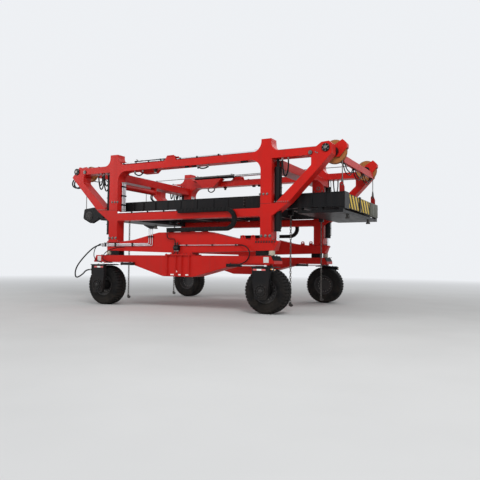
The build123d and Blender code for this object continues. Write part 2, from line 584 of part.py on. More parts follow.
BLOCK_Z, BLOCK_SHEAVE_RADIUS = 2960, 184
BLOCK_ROWS = [
    (SPREADER_X[0], 3250, 0),
    (-4190, 3262, 80),
    (-4610, 3215, 60),
    (-4660, 2880, 90),
    (-4290, 2700, 120),
    (SPREADER_X[0], 2960, 0),
]
BLOCK_SHEAVE_HALF = [(0, 47), (60, 47), (60, 20), (BLOCK_SHEAVE_RADIUS, 20)]
with BuildPart() as rope_blocks:
    mirrored = [(radius, -across) for radius, across in reversed(BLOCK_SHEAVE_HALF)]
    for sy in (-1, 1):
        for y in (1640, 1750):
            plate(BLOCK_ROWS, sorted((sy * y - 8, sy * y + 8)))
        x = ROPE_X[0] + ROPE_PITCH_RADIUS - 6
        turned((x, sy * SHEAVE_Y, BLOCK_Z), BLOCK_SHEAVE_HALF + mirrored)
        block((-3900, SPREADER_X[0]), (sy * 1642, sy * 1748), (3000, 3245))
write(rope_blocks, "rope_blocks")

with BuildPart() as hoist_ropes:
    for sy in (-1, 1):
        for x, foot_z in zip(ROPE_X, (BLOCK_Z, ANCHOR_TOP_Z)):
            bar((x, sy * SHEAVE_Y, foot_z), (0, 0, 1), ROPE_TOP_Z - foot_z, ROPE_RADIUS)
write(hoist_ropes, "hoist_ropes")

# Sling chains of upright links, each turned across the next, with their hooks
SLING_LINKS = 13
SLING_PITCH = (SLING_TOP_Z - SLING_BOTTOM_Z) / SLING_LINKS
with BuildPart() as sling_chains:
    for x in SLING_X:
        for y in (-SLING_Y, SLING_Y):
            for link in range(SLING_LINKS):
                half_x, half_y = (32, 10) if link % 2 else (10, 32)
                z = SLING_BOTTOM_Z + link * SLING_PITCH
                block((x - half_x, x + half_x), (y - half_y, y + half_y), (z, z + SLING_PITCH))
write(sling_chains, "sling_chains")

HOOK_ROWS = [(35, 0, 0), (45, -55, 20), (75, -30, 0), (90, -75, 0)]
HOOK_ROWS += [(40, -115, 40), (-40, -95, 40), (-35, 0, 0)]
with BuildPart() as sling_hooks:
    for x in SLING_X:
        for y in (-SLING_Y, SLING_Y):
            rows = [(x + dx, SLING_BOTTOM_Z + dz, radius) for dx, dz, radius in HOOK_ROWS]
            plate(rows, (y - 16, y + 16))
write(sling_hooks, "sling_hooks")

# Energy chains: the upper run on the mid chord, the bend, and the lower run on the saddle beam
NEAR_CHAIN_Y = (-CHAIN_Y[1], -CHAIN_Y[0])
CHAIN_BOTTOM_Z = SADDLE_TOP_Z + 12
BEND_OUTER = (CHAIN_TOP_Z - CHAIN_BOTTOM_Z) / 2
BEND_Z = (CHAIN_TOP_Z + CHAIN_BOTTOM_Z) / 2
NOTCH_PITCH, NOTCH_WIDTH, NOTCH_DEPTH = 120, 22, 12


def chain_run(x_start, z_back, z_outer):
    """Add a straight run with the gaps between its links cut in the outer edge."""
    step = NOTCH_DEPTH if z_back > z_outer else -NOTCH_DEPTH
    rows = [(CHAIN_BEND_X, z_back, 0), (CHAIN_BEND_X, z_outer, 0)]
    x = CHAIN_BEND_X - NOTCH_PITCH
    while x > x_start + NOTCH_PITCH / 2:
        rows += [(x + NOTCH_WIDTH, z_outer, 0), (x + NOTCH_WIDTH, z_outer + step, 0)]
        rows += [(x, z_outer + step, 0), (x, z_outer, 0)]
        x -= NOTCH_PITCH
    plate(rows + [(x_start, z_outer, 0), (x_start, z_back, 0)], NEAR_CHAIN_Y)


with BuildPart() as chain_upper:
    chain_run(CHAIN_UPPER_X, CHAIN_TOP_Z - CHAIN_DEPTH, CHAIN_TOP_Z)
    for x in (0, 750, 1400):
        block((x - 40, x + 40), (-CHAIN_Y[0], -CHAIN_Y[0] + 120), (MID_CHORD_Z[1], CHAIN_TOP_Z - 20))
    mirror(chain_upper.part, about=Plane.XZ)
write(chain_upper, "chain_upper")

with BuildPart() as chain_bends:
    with BuildSketch(Plane.XZ.offset(CHAIN_Y[0])):
        with Locations((CHAIN_BEND_X, BEND_Z)):
            Circle(BEND_OUTER)
            Circle(BEND_OUTER - CHAIN_DEPTH, mode=Mode.SUBTRACT)
            with PolarLocations(BEND_OUTER, 9, start_angle=-80, angular_range=160, endpoint=True):
                Rectangle(2 * NOTCH_DEPTH, NOTCH_WIDTH, mode=Mode.SUBTRACT)
        with Locations((CHAIN_BEND_X - BEND_OUTER, BEND_Z)):
            Rectangle(2 * BEND_OUTER, 2 * BEND_OUTER + 2, mode=Mode.SUBTRACT)
    extrude(amount=CHAIN_Y[1] - CHAIN_Y[0])
    mirror(chain_bends.part, about=Plane.XZ)
write(chain_bends, "chain_bends")

with BuildPart() as chain_lower:
    chain_run(CHAIN_LOWER_X, CHAIN_BOTTOM_Z + CHAIN_DEPTH, CHAIN_BOTTOM_Z)
    for x in (-450, 150, 780):
        z_range = (SADDLE_TOP_Z, CHAIN_BOTTOM_Z + NOTCH_DEPTH)
        block((x - 60, x + 60), (-CHAIN_Y[1], -SADDLE_OUTER_Y + 120), z_range)
write_pair(chain_lower, "chain_lower")

# Silver pipes on the frame: down the -X columns' inner faces, then along the front of the mid chords
PIPE_TOP_Z, PIPE_PITCH, PIPE_RAIL = 3990, 70, 14
COLUMN_PIPE_X = -COLUMN_IN + FRAME_PIPE_RADIUS + 10
CHORD_PIPE_Z = MID_CHORD_Z[1] + FRAME_PIPE_RADIUS + 8
with BuildPart() as frame_pipes:
    for k in range(3):
        y_column, y_chord = -2160 + k * PIPE_PITCH, -2325 + k * PIPE_PITCH
        bar((COLUMN_PIPE_X, y_column, CHORD_PIPE_Z), (0, 0, 1), PIPE_TOP_Z - CHORD_PIPE_Z, FRAME_PIPE_RADIUS)
        bar((COLUMN_PIPE_X, y_chord, CHORD_PIPE_Z), (1, 0, 0), -170 - COLUMN_PIPE_X, FRAME_PIPE_RADIUS)
    block((COLUMN_PIPE_X - 26, COLUMN_PIPE_X + 60), (-2355, -1990), (CHORD_PIPE_Z - 12, CHORD_PIPE_Z + 40))
    for z in (3250, 3550, 3850):
        block((-COLUMN_IN, -COLUMN_IN + PIPE_RAIL), (-2190, -2016), (z - 20, z + 20))
    for x in (-2000, -1370, -740, -240):
        block((x - 20, x + 20), (-2360, -2155), (MID_CHORD_Z[1], MID_CHORD_Z[1] + PIPE_RAIL))
    mirror(frame_pipes.part, about=Plane.XZ)
    for x in (-2980, -2890, -2800):
        bar((x, -1900, CROSS_BEAM_Z[1] + 10 + FRAME_PIPE_RADIUS), (0, 1, 0), 3800, FRAME_PIPE_RADIUS)
    for y in (-1600, 0, 1600):
        block((-3010, -2770), (y - 20, y + 20), (CROSS_BEAM_Z[1], CROSS_BEAM_Z[1] + PIPE_RAIL))
write(frame_pipes, "frame_pipes")

# Silver pipes on the saddle beam's outer face, on the rails that carry them
SADDLE_PIPE_ROWS = [(-1244, 1960), (-1176, 1925), (-1108, 1890)]
SADDLE_PIPE_END_X, SADDLE_PIPE_TOP_Z, SADDLE_PIPE_BEND = -3120, 2400, 40
SADDLE_PIPE_Y = -SADDLE_OUTER_Y - PIPE_RADIUS - 12


def bent_pipe(x, z, end_x):
    """Add a pipe that comes down at x, bends, and runs on along the beam at z."""
    bend = SADDLE_PIPE_BEND
    with BuildSketch(Plane.XY.offset(z + bend)) as section:
        with Locations((x, SADDLE_PIPE_Y)):
            Circle(PIPE_RADIUS)
    extrude(section.sketch, amount=SADDLE_PIPE_TOP_Z - z - bend)
    revolve(section.sketch, axis=Axis((x - bend, SADDLE_PIPE_Y, z + bend), (0, 1, 0)), revolution_arc=90)
    bar((x - bend, SADDLE_PIPE_Y, z), (-1, 0, 0), x - bend - end_x, PIPE_RADIUS)


with BuildPart() as saddle_pipes:
    for x, z in SADDLE_PIPE_ROWS:
        bent_pipe(x, z, SADDLE_PIPE_END_X)
    bar((-60, SADDLE_PIPE_Y, 1900), (1, 0, 0), 1970, PIPE_RADIUS)
    for x_range, z_range in (
        ((-2615, -2565), (1870, 1980)),
        ((-1915, -1865), (1870, 1980)),
        ((-1270, -1082), (2150, 2190)),
        ((150, 190), (1880, 1920)),
        ((1050, 1090), (1880, 1920)),
        ((1830, 1870), (1880, 1920)),
    ):
        block(x_range, (-SADDLE_OUTER_Y - PIPE_RAIL, -SADDLE_OUTER_Y), z_range)
    block((SADDLE_PIPE_END_X - 30, SADDLE_PIPE_END_X), (-2450, -2375), (1870, 1980))
write_pair(saddle_pipes, "saddle_pipes")

# Hoses that hang from the saddle pipes to the forks of the -X wheels
HOSE_ROUTE = [
    (SADDLE_PIPE_END_X - 30, -2412, 1925),
    (-3400, -2412, 1925),
    (-3740, -2540, 1610),
    (-4140, -2600, 1160),
    (-4040, -2700, 800),
    (-3620, -2790, 950),
    (-3400, -GLAND_Y, GLAND_Z),
    (-GLAND_FACE_X, -GLAND_Y, GLAND_Z),
]


def largest_bends(points):
    """Bend radius at each inner point, as large as its two runs allow."""
    radii = []
    for before, here, after in zip(points, points[1:], points[2:]):
        run_in, run_out = Vector(*here) - Vector(*before), Vector(*after) - Vector(*here)
        half_turn = radians(run_in.get_angle(run_out)) / 2
        radii.append(0.45 * min(run_in.length, run_out.length) / tan(half_turn))
    return radii


HOSE_BENDS = largest_bends(HOSE_ROUTE)
print("hose bends", [round(bend) for bend in HOSE_BENDS])
with BuildPart() as motor_hose:
    pipe(HOSE_ROUTE, HOSE_RADIUS, HOSE_BENDS)
write_pair(motor_hose, "motor_hose")
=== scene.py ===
"""Rubber tyred gantry crane: finishes and fine fittings over the crane's solids.

Lengths are in metres, in the frame of the solids: X along the travel, Y across it, Z up from the
ground. The near side is -Y, and the far side is its mirror image.
"""

import logging
import math
from collections.abc import Callable, Iterable, Sequence
from dataclasses import dataclass
from enum import Enum

import bmesh
import bpy
from mathutils import Matrix, Vector

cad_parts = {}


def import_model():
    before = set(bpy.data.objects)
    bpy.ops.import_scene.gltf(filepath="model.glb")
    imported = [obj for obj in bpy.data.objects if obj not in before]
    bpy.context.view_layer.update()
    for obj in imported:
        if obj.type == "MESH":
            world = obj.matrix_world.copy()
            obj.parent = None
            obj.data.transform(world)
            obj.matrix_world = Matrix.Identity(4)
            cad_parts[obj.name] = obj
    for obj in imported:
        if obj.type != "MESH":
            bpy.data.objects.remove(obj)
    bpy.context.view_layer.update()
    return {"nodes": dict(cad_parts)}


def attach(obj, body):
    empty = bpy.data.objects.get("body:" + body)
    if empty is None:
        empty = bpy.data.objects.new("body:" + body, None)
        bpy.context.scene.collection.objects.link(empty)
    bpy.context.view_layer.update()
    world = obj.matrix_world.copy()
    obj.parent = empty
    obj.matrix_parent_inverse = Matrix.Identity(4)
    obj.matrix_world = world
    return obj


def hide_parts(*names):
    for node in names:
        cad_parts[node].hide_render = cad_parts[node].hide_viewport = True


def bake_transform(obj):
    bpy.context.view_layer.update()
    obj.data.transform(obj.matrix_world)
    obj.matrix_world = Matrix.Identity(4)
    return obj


LOG = logging.getLogger("gantry_crane")
Point = tuple[float, float, float]
Colour = tuple[float, float, float]
Pair = tuple[float, float]
Rows = Sequence[Pair]
Table = tuple[tuple[float, ...], ...]
OUT, UP, ALONG, DOWN = (0, -1, 0), (0, 0, 1), (1, 0, 0), (0, 0, -1)
SIGNS = (-1, 1)
SHARP_FROM = math.radians(35.0)


class Side(Enum):
    """The two sides of the crane, with the sign of Y."""

    NEAR = -1
    FAR = 1

    @property
    def label(self) -> str:
        """Name of the side as pieces and bodies carry it."""
        return self.name.lower()

    @property
    def body(self) -> str:
        """Name of the undercarriage body on this side."""
        return f"undercarriage_{self.label}"


class End(Enum):
    """The two ends of the crane, with the sign of X."""

    LEFT = -1
    RIGHT = 1


class Graph:
    """Adds and links the nodes of one node tree."""

    def __init__(self, tree: bpy.types.NodeTree) -> None:
        """Keep the tree to build in."""
        self.tree = tree

    def feed(self, node: bpy.types.Node, inputs: dict) -> bpy.types.Node:
        """Set or link inputs of a node.

        Args:
            node: The node.
            inputs: Values, or sockets to link from, by the input's name or index.

        Returns:
            The node.
        """
        for name, value in inputs.items():
            target = node.inputs[name]
            if isinstance(value, bpy.types.NodeSocket):
                self.tree.links.new(value, target)
            else:
                target.default_value = (*value, 1.0) if target.type == "RGBA" else value
        return node

    def add(self, kind: str, inputs: dict | None = None, **settings) -> bpy.types.Node:
        """Add a node.

        Args:
            kind: Blender's name of the node type, without the ShaderNode prefix.
            inputs: Values, or sockets to link from, by the input's name or index.
            settings: Properties to set on the node.

        Returns:
            The new node.
        """
        node = self.tree.nodes.new(f"ShaderNode{kind}")
        for name, value in settings.items():
            setattr(node, name, value)
        return self.feed(node, inputs or {})

    def math(self, operation: str, first, second, clamp: bool = False) -> bpy.types.NodeSocket:
        """Add a Math node and return its output."""
        return self.add("Math", {0: first, 1: second}, operation=operation, use_clamp=clamp).outputs[0]

    def times(self, first, second) -> bpy.types.NodeSocket:
        """Multiply two values."""
        return self.math("MULTIPLY", first, second)

    def remap(self, value, low: float, high: float, to_low=0.0, to_high=1.0) -> bpy.types.NodeSocket:
        """Add a clamped Map Range node and return its output."""
        inputs = {"Value": value, "From Min": low, "From Max": high, "To Min": to_low, "To Max": to_high}
        return self.add("MapRange", inputs).outputs[0]

    def mix(self, factor, first, second) -> bpy.types.NodeSocket:
        """Add a colour Mix node and return its output."""
        return self.add("Mix", {0: factor, 6: first, 7: second}, data_type="RGBA").outputs[2]

    def place(self) -> bpy.types.NodeSocket:
        """Return the object coordinates."""
        return self.add("TexCoord").outputs["Object"]

    def split(self) -> bpy.types.NodeOutputs:
        """Return the object coordinates as X, Y and Z."""
        return self.add("SeparateXYZ", {"Vector": self.place()}).outputs

    def noise(self, scale, detail: float = 4.0, stretch: Point = (1, 1, 1)) -> bpy.types.NodeSocket:
        """Add a noise texture on the object coordinates.

        Args:
            scale: Scale of the noise, a number or a socket.
            detail: Octaves of the noise.
            stretch: Factors along X, Y and Z.

        Returns:
            The noise value.
        """
        mapping = self.add("Mapping", {"Vector": self.place(), "Scale": stretch})
        inputs = {"Vector": mapping.outputs[0], "Scale": scale, "Detail": detail}
        return self.add("TexNoise", inputs).outputs["Fac"]

    def bump(self, height, strength: float, distance: float, **normal) -> bpy.types.NodeSocket:
        """Add a Bump node, over a Normal if one is given, and return its output."""
        inputs = {"Height": height, "Strength": strength, "Distance": distance}
        return self.add("Bump", inputs | normal).outputs[0]

    def use(self, effect: str, **inputs) -> bpy.types.NodeOutputs:
        """Place a shared effect.

        Args:
            effect: The effect's name in Effects.
            inputs: Socket values, with underscores for the spaces in their names.

        Returns:
            The outputs of the group node.
        """
        named = {name.replace("_", " "): value for name, value in inputs.items()}
        return self.add("Group", named, node_tree=Effects.get(effect)).outputs


class Group(Graph):
    """A new node group with named sockets."""

    def __init__(self, name: str, inputs: dict, outputs: dict) -> None:
        """Make the group's sockets.

        Args:
            name: The group's name.
            inputs: Default value, a number or a colour, by input name.
            outputs: Kind of socket by output name.
        """
        super().__init__(bpy.data.node_groups.new(name, "ShaderNodeTree"))
        for label, default in inputs.items():
            kind = "Color" if isinstance(default, tuple) else "Float"
            socket = self.tree.interface.new_socket(label, in_out="INPUT", socket_type=f"NodeSocket{kind}")
            socket.default_value = (*default, 1.0) if kind == "Color" else default
        for label, kind in outputs.items():
            self.tree.interface.new_socket(label, in_out="OUTPUT", socket_type=f"NodeSocket{kind}")
        self.given = self.tree.nodes.new("NodeGroupInput").outputs
        self.out = self.tree.nodes.new("NodeGroupOutput")

    def give(self, **results: bpy.types.NodeSocket) -> bpy.types.NodeTree:
        """Link the group's outputs and return its tree."""
        self.feed(self.out, results)
        return self.tree


class Effects:
    """The shader node groups that several finishes share, each built once."""

    made: dict[str, bpy.types.NodeTree] = {}

    @classmethod
    def get(cls, name: str) -> bpy.types.NodeTree:
        """Find a group, building it at its first use.

        Args:
            name: Its name, which is also its method's.

        Returns:
            The group.
        """
        if name not in cls.made:
            cls.made[name] = getattr(cls, f"_{name}")()
        return cls.made[name]

    @staticmethod
    def _edge_wear() -> bpy.types.NodeTree:
        """Rounded edge normal, and a broken mask along the edges.

        Returns:
            The group.
        """
        graph = Group("edge_wear", {"Width": 0.008, "Breaks": 18.0}, {"Mask": "Float", "Normal": "Vector"})
        bevel = graph.add("Bevel", {"Radius": graph.given["Width"]}, samples=4).outputs[0]
        flat = graph.add("NewGeometry").outputs["True Normal"]
        dot = graph.add("VectorMath", {0: bevel, 1: flat}, operation="DOT_PRODUCT").outputs["Value"]
        broken = graph.remap(graph.noise(graph.given["Breaks"], 6.0), 0.48, 0.62)
        return graph.give(Mask=graph.times(graph.remap(dot, 0.995, 0.90), broken), Normal=bevel)

    @staticmethod
    def _weathering() -> bpy.types.NodeTree:
        """Sun fade, rain streaks, and road dust that thins out with height.

        Returns:
            The group.
        """
        inputs = {"Base": (0.6, 0.1, 0.1), "Fade": 0.2, "Streaks": 0.3, "Dust": 0.3, "Dust Height": 1.6}
        graph = Group("weathering", inputs, {"Colour": "Color", "Dull": "Float"})
        given = graph.given
        lighter = graph.add("VectorMath", {0: given["Base"], "Scale": 1.45}, operation="SCALE")
        fade = graph.times(graph.remap(graph.noise(0.9, 3.0), 0.35, 0.75), given["Fade"])
        colour = graph.mix(fade, given["Base"], lighter.outputs["Vector"])
        runs = graph.remap(graph.noise(1.0, 5.0, (7.0, 7.0, 0.55)), 0.52, 0.72)
        streak = graph.times(runs, given["Streaks"])
        colour = graph.mix(streak, colour, (0.05, 0.035, 0.03))
        low = graph.remap(graph.math("DIVIDE", graph.split()["Z"], given["Dust Height"]), 1.0, 0.0)
        patch = graph.remap(graph.noise(5.0, 8.0), 0.35, 0.70)
        dust = graph.times(graph.times(low, patch), given["Dust"])
        specks = graph.times(graph.remap(graph.noise(38.0), 0.55, 0.75), 0.10)
        dust = graph.math("ADD", dust, graph.times(specks, given["Dust"]), clamp=True)
        colour = graph.mix(dust, colour, (0.20, 0.155, 0.115))
        return graph.give(Colour=colour, Dull=graph.math("ADD", dust, streak, clamp=True))

    @staticmethod
    def _fine_grain() -> bpy.types.NodeTree:
        """Height of a fine even grain."""
        graph = Group("fine_grain", {"Scale": 120.0}, {"Height": "Float"})
        return graph.give(Height=graph.noise(graph.given["Scale"], 3.0))

    @staticmethod
    def _brushed() -> bpy.types.NodeTree:
        """Long scratches along X, or along Z.

        Returns:
            The group.
        """
        graph = Group("brushed", {"Scale": 30.0, "Along Z": 0.0}, {"Scratch": "Float"})
        along_x = graph.noise(graph.given["Scale"], stretch=(0.05, 4.0, 4.0))
        along_z = graph.noise(graph.given["Scale"], stretch=(4.0, 4.0, 0.05))
        pick = graph.add("Mix", {0: graph.given["Along Z"], 2: along_x, 3: along_z}, data_type="FLOAT")
        return graph.give(Scratch=pick.outputs[0])


def new_material(name: str, sockets: Callable[[Graph], dict]) -> bpy.types.Material:
    """Make a material.

    Args:
        name: The material's name.
        sockets: Works out the inputs of the Principled shader in the material's graph.

    Returns:
        The material.
    """
    material = bpy.data.materials.new(name)
    material.use_nodes = True
    graph = Graph(material.node_tree)
    graph.feed(material.node_tree.nodes["Principled BSDF"], sockets(graph))
    return material


@dataclass(frozen=True)
class Paint:
    """Machine enamel over steel, chipped along the edges."""

    name: str
    colour: Colour
    roughness: float = 0.34
    fade: float = 0.25
    streaks: float = 0.22
    dust: float = 0.45
    dust_height: float = 2.0
    wear: float = 0.55
    bare: Colour = (0.16, 0.13, 0.12)
    gloss: float = 0.13
    coat: float = 0.03

    def sockets(self, graph: Graph) -> dict:
        """Work out the shader's inputs.

        Args:
            graph: Graph of the material.

        Returns:
            Values and sockets by the name of the input.
        """
        road = {"Dust": self.dust, "Dust_Height": self.dust_height}
        weather = graph.use("weathering", Base=self.colour, Fade=self.fade, Streaks=self.streaks, **road)
        edge = graph.use("edge_wear")
        peel = graph.use("fine_grain", Scale=26.0)
        return {
            "Base Color": graph.mix(graph.times(edge["Mask"], self.wear), weather["Colour"], self.bare),
            "Roughness": graph.remap(weather["Dull"], 0.0, 0.6, self.roughness, 0.85),
            "Normal": graph.bump(peel["Height"], 0.06, 0.004, Normal=edge["Normal"]),
            "Specular IOR Level": self.gloss,
            "Coat Weight": self.coat,
            "Coat Roughness": 0.22,
        }


@dataclass(frozen=True)
class Metal:
    """Bare or plated metal, brushed along X or Z."""

    name: str
    colour: Colour
    roughness: Pair = (0.22, 0.42)
    scratch: float = 30.0
    along_z: float = 0.0
    grime: float = 0.25

    def sockets(self, graph: Graph) -> dict:
        """Work out the shader's inputs.

        Args:
            graph: Graph of the material.

        Returns:
            Values and sockets by the name of the input.
        """
        brushed = graph.use("brushed", Scale=self.scratch, Along_Z=self.along_z)["Scratch"]
        stain = graph.remap(graph.noise(4.5, 6.0), 0.5, 0.72, 0.0, self.grime)
        rough = graph.remap(brushed, 0.3, 0.7, *self.roughness)
        return {
            "Base Color": graph.mix(stain, self.colour, tuple(0.30 * part for part in self.colour)),
            "Roughness": graph.math("ADD", rough, graph.times(stain, 0.6), clamp=True),
            "Normal": graph.bump(brushed, 0.05, 0.002),
            "Metallic": 1.0,
        }


@dataclass(frozen=True)
class Rubber:
    """Rubber or moulded plastic with a grey bloom and road dust."""

    name: str
    colour: Colour
    roughness: float = 0.62
    dust: float = 0.5
    dust_height: float = 1.3
    grain: float = 140.0

    def sockets(self, graph: Graph) -> dict:
        """Work out the shader's inputs.

        Args:
            graph: Graph of the material.

        Returns:
            Values and sockets by the name of the input.
        """
        road = {"Dust": self.dust, "Dust_Height": self.dust_height}
        weather = graph.use("weathering", Base=self.colour, Fade=0.1, Streaks=0.05, **road)
        bloom = graph.remap(graph.noise(9.0, 7.0), 0.45, 0.8, 0.0, 0.022)
        return {
            "Base Color": graph.mix(bloom, weather["Colour"], (0.22, 0.21, 0.20)),
            "Roughness": graph.remap(weather["Dull"], 0.0, 0.6, self.roughness, 0.92),
            "Normal": graph.bump(graph.use("fine_grain", Scale=self.grain)["Height"], 0.18, 0.002),
            "Specular IOR Level": 0.12,
        }


@dataclass(frozen=True)
class WarningStripes:
    """Slanted yellow and black bands on the end panels."""

    name: str = "warning_stripes"
    yellow: Colour = (0.80, 0.55, 0.06)
    black: Colour = (0.004, 0.004, 0.004)
    pitch: float = 0.30
    slant: float = 0.75

    def sockets(self, graph: Graph) -> dict:
        """Work out the shader's inputs.

        Args:
            graph: Graph of the material.

        Returns:
            Values and sockets by the name of the input.
        """
        place = graph.split()
        along = graph.math("ADD", place["Y"], graph.times(place["Z"], self.slant))
        band = graph.math("FRACT", graph.math("DIVIDE", along, self.pitch), 0.0)
        colour = graph.mix(graph.remap(band, 0.495, 0.505), self.black, self.yellow)
        weather = graph.use("weathering", Base=colour, Fade=0.2, Streaks=0.3, Dust=0.2, Dust_Height=6.0)
        return {
            "Base Color": weather["Colour"],
            "Roughness": graph.remap(weather["Dull"], 0.0, 0.6, 0.42, 0.85),
            "Normal": graph.use("edge_wear", Width=0.004)["Normal"],
            "Specular IOR Level": 0.12,
        }


@dataclass(frozen=True)
class Lens:
    """Moulded lamp or reflector lens with fine ribs. Its emission is the glow of the lamp lenses, and a
    painted glow on the reflectors and marker strips, which light nothing.
    """

    name: str
    colour: Colour
    glow: float

    def sockets(self, graph: Graph) -> dict:
        """Work out the shader's inputs.

        Args:
            graph: Graph of the material.

        Returns:
            Values and sockets by the name of the input.
        """
        wave = {"Vector": graph.place(), "Scale": 45.0, "Distortion": 0.4}
        ribs = graph.add("TexWave", wave).outputs["Fac"]
        return {
            # Painted glint: the ribs are lightened towards white.
            "Base Color": graph.mix(graph.remap(ribs, 0.2, 0.8, 0.0, 0.25), self.colour, (0.9, 0.9, 0.9)),
            "Normal": graph.bump(ribs, 0.2, 0.002),
            "Roughness": 0.18,
            # Emission: the lamps' glow, and a painted glow on the reflectors and marker strips.
            "Emission Color": self.colour,
            "Emission Strength": self.glow,
        }


BUILT: dict[str, bpy.types.Material] = {}


class Finish(Enum):
    """Every finish on the crane."""

    RED = Paint("crane_red", (0.53, 0.013, 0.009), dust=0.08, streaks=0.12)
    # Painted shade: a darker copy of the crane red, for parts that are meant to sit in shadow.
    DARK_RED = Paint("shaded_red", (0.30, 0.010, 0.008), 0.45, dust=0.10)
    BLACK = Paint("beam_black", (0.008, 0.008, 0.009), 0.40, dust=0.10, bare=(0.07, 0.065, 0.06), gloss=0.12)
    FORK_BLACK = Paint("fork_black", (0.007, 0.007, 0.008), 0.46, dust=0.14, dust_height=1.0, gloss=0.16)
    OCHRE = Paint("sheave_ochre", (0.40, 0.155, 0.045), 0.5, streaks=0.35, dust=0.3, dust_height=9.0)
    GREY = Paint("box_grey", (0.12, 0.122, 0.095), 0.5, dust=0.2)
    SILVER = Paint("fitting_silver", (0.42, 0.42, 0.41), 0.38, dust=0.25, wear=0.3)
    CREAM = Paint("sleeve_cream", (0.55, 0.50, 0.40), 0.5, dust=0.25, wear=0.3)
    WHITE = Paint("marker_white", (0.72, 0.72, 0.70), 0.4, dust=0.15, wear=0.2)
    STRIPES = WarningStripes()
    PIPE = Metal("pipe_steel", (0.62, 0.63, 0.65), (0.25, 0.40))
    CHROME = Metal("rod_chrome", (0.80, 0.81, 0.83), (0.08, 0.16), grime=0.08)
    CAST = Metal("cast_steel", (0.11, 0.105, 0.10), (0.42, 0.62), 12.0)
    BOLT = Metal("bolt_zinc", (0.20, 0.19, 0.18), (0.35, 0.55), 60.0)
    DARK_BOLT = Metal("bolt_black", (0.045, 0.043, 0.042), (0.35, 0.55), 60.0)
    ROPE = Metal("wire_rope", (0.22, 0.21, 0.20), (0.4, 0.6), along_z=1.0)
    CHAIN = Metal("load_chain", (0.16, 0.15, 0.14), (0.35, 0.6), 50.0, grime=0.5)
    PLASTIC = Rubber("chain_plastic", (0.005, 0.005, 0.0055), 0.52, 0.04, 4.0)
    RUBBER = Rubber("pad_rubber", (0.007, 0.007, 0.008), 0.6, 0.10)
    HOSE = Rubber("hose_rubber", (0.006, 0.006, 0.007), 0.44, 0.06)
    TYRE = Rubber("tyre_rubber", (0.009, 0.009, 0.0095), 0.74, 0.14, 1.25, 90.0)
    RIM = Paint("rim_grey", (0.032, 0.032, 0.034), 0.5, dust=0.15, dust_height=1.3, gloss=0.3)
    # Painted glow: the marker strips and reflectors that wear these lenses glow though they light nothing;
    # the lamp lenses glow as lamps.
    AMBER = Lens("amber_lens", (0.95, 0.32, 0.03), 0.3)
    CLEAR = Lens("clear_lens", (0.88, 0.88, 0.84), 0.1)
    RED_LENS = Lens("red_lens", (0.65, 0.02, 0.02), 0.05)

    def material(self) -> bpy.types.Material:
        """Find the material, building it at its first use.

        Returns:
            The material.
        """
        if self.name not in BUILT:
            BUILT[self.name] = new_material(self.value.name, self.value.sockets)
        return BUILT[self.name]


STEMS = {
    Finish.RED: "trusses lower_frames cross_beams end_ties sheave_forks hoist_brackets saddle_beam "
    "walking_beam inner_posts lifting_lugs",
    Finish.BLACK: "sheave_shafts hoist_barrels lift_barrels steer_barrels spreader_frame spreader_decks "
    "rope_blocks",
    Finish.OCHRE: "sheaves",
    Finish.CHROME: "hoist_rods lift_rods steer_rod",
    Finish.ROPE: "crosshead_ropes hoist_ropes",
    Finish.PLASTIC: "chain_upper chain_bends chain_lower",
    Finish.PIPE: "frame_pipes saddle_pipes",
    Finish.RUBBER: "rubber_pads",
    Finish.HOSE: "motor_hose",
    Finish.FORK_BLACK: "fork",
    Finish.TYRE: "tyre",
    Finish.RIM: "rim",
    Finish.STRIPES: "end_panels",
    Finish.CAST: "twist_locks sling_hooks",
    # Painted shade: the rope anchors take the shaded copy of the red.
    Finish.DARK_RED: "rope_anchors",
    Finish.CHAIN: "sling_chains",
}


def dress_solids(frame: dict) -> None:
    """Give every solid its finish by the stem of its name.
    """
    finishes = {stem: finish for finish, stems in STEMS.items() for stem in stems.split()}
    for node in frame["nodes"]:
        stem = next(name for name in finishes if node == name or node.startswith(name + "_"))
        solid = bpy.data.objects[node]
        if not solid.material_slots:
            solid.data.materials.append(None)
        for slot in solid.material_slots:
            slot.material = finishes[stem].material()


def spline_points(name: str, route: Sequence[Point]) -> list[Point]:
    """Follow a smooth spline through a route's points.

    Args:
        name: Name of the passing curve.
        route: Control points of the spline.

    Returns:
        Points along the spline, from its first end to its last.
    """
    curve = bpy.data.curves.new(name, "CURVE")
    curve.dimensions = "3D"
    spline = curve.splines.new("NURBS")
    spline.points.add(len(route) - 1)
    for point, place in zip(spline.points, route):
        point.co = (*place, 1.0)
    spline.order_u = 3
    spline.use_endpoint_u = True
    spline.resolution_u = 12
    holder = bpy.data.objects.new(name, curve)
    line = bpy.data.meshes.new_from_object(holder)
    points = [tuple(vert.co) for vert in line.vertices]
    bpy.data.objects.remove(holder)
    bpy.data.curves.remove(curve)
    bpy.data.meshes.remove(line)
    return points


def around(
    middle: Vector, first: Vector, second: Vector, radius: float, count: int, phase: float = 0.0
) -> list[Vector]:
    """Place points on a circle that two directions span.

    Args:
        middle: Middle of the circle.
        first: Direction of the first point.
        second: Direction a quarter turn on.
        radius: Radius of the circle.
        count: Number of points.
        phase: Share of a step that the first point is turned by.

    Returns:
        The points.
    """
    angles = (2 * math.pi * (k + phase) / count for k in range(count))
    return [middle + radius * (math.cos(a) * first + math.sin(a) * second) for a in angles]


def circle(centre: Point, axis: Point, radius: float, count: int, phase=0.0, along=0.0) -> list[Vector]:
    """Place points on a circle about an axis, like around, a distance along the axis from a centre."""
    first, second, ahead = Vector(UP).rotation_difference(Vector(axis)).to_matrix().col
    return around(Vector(centre) + along * ahead, first, second, radius, count, phase)


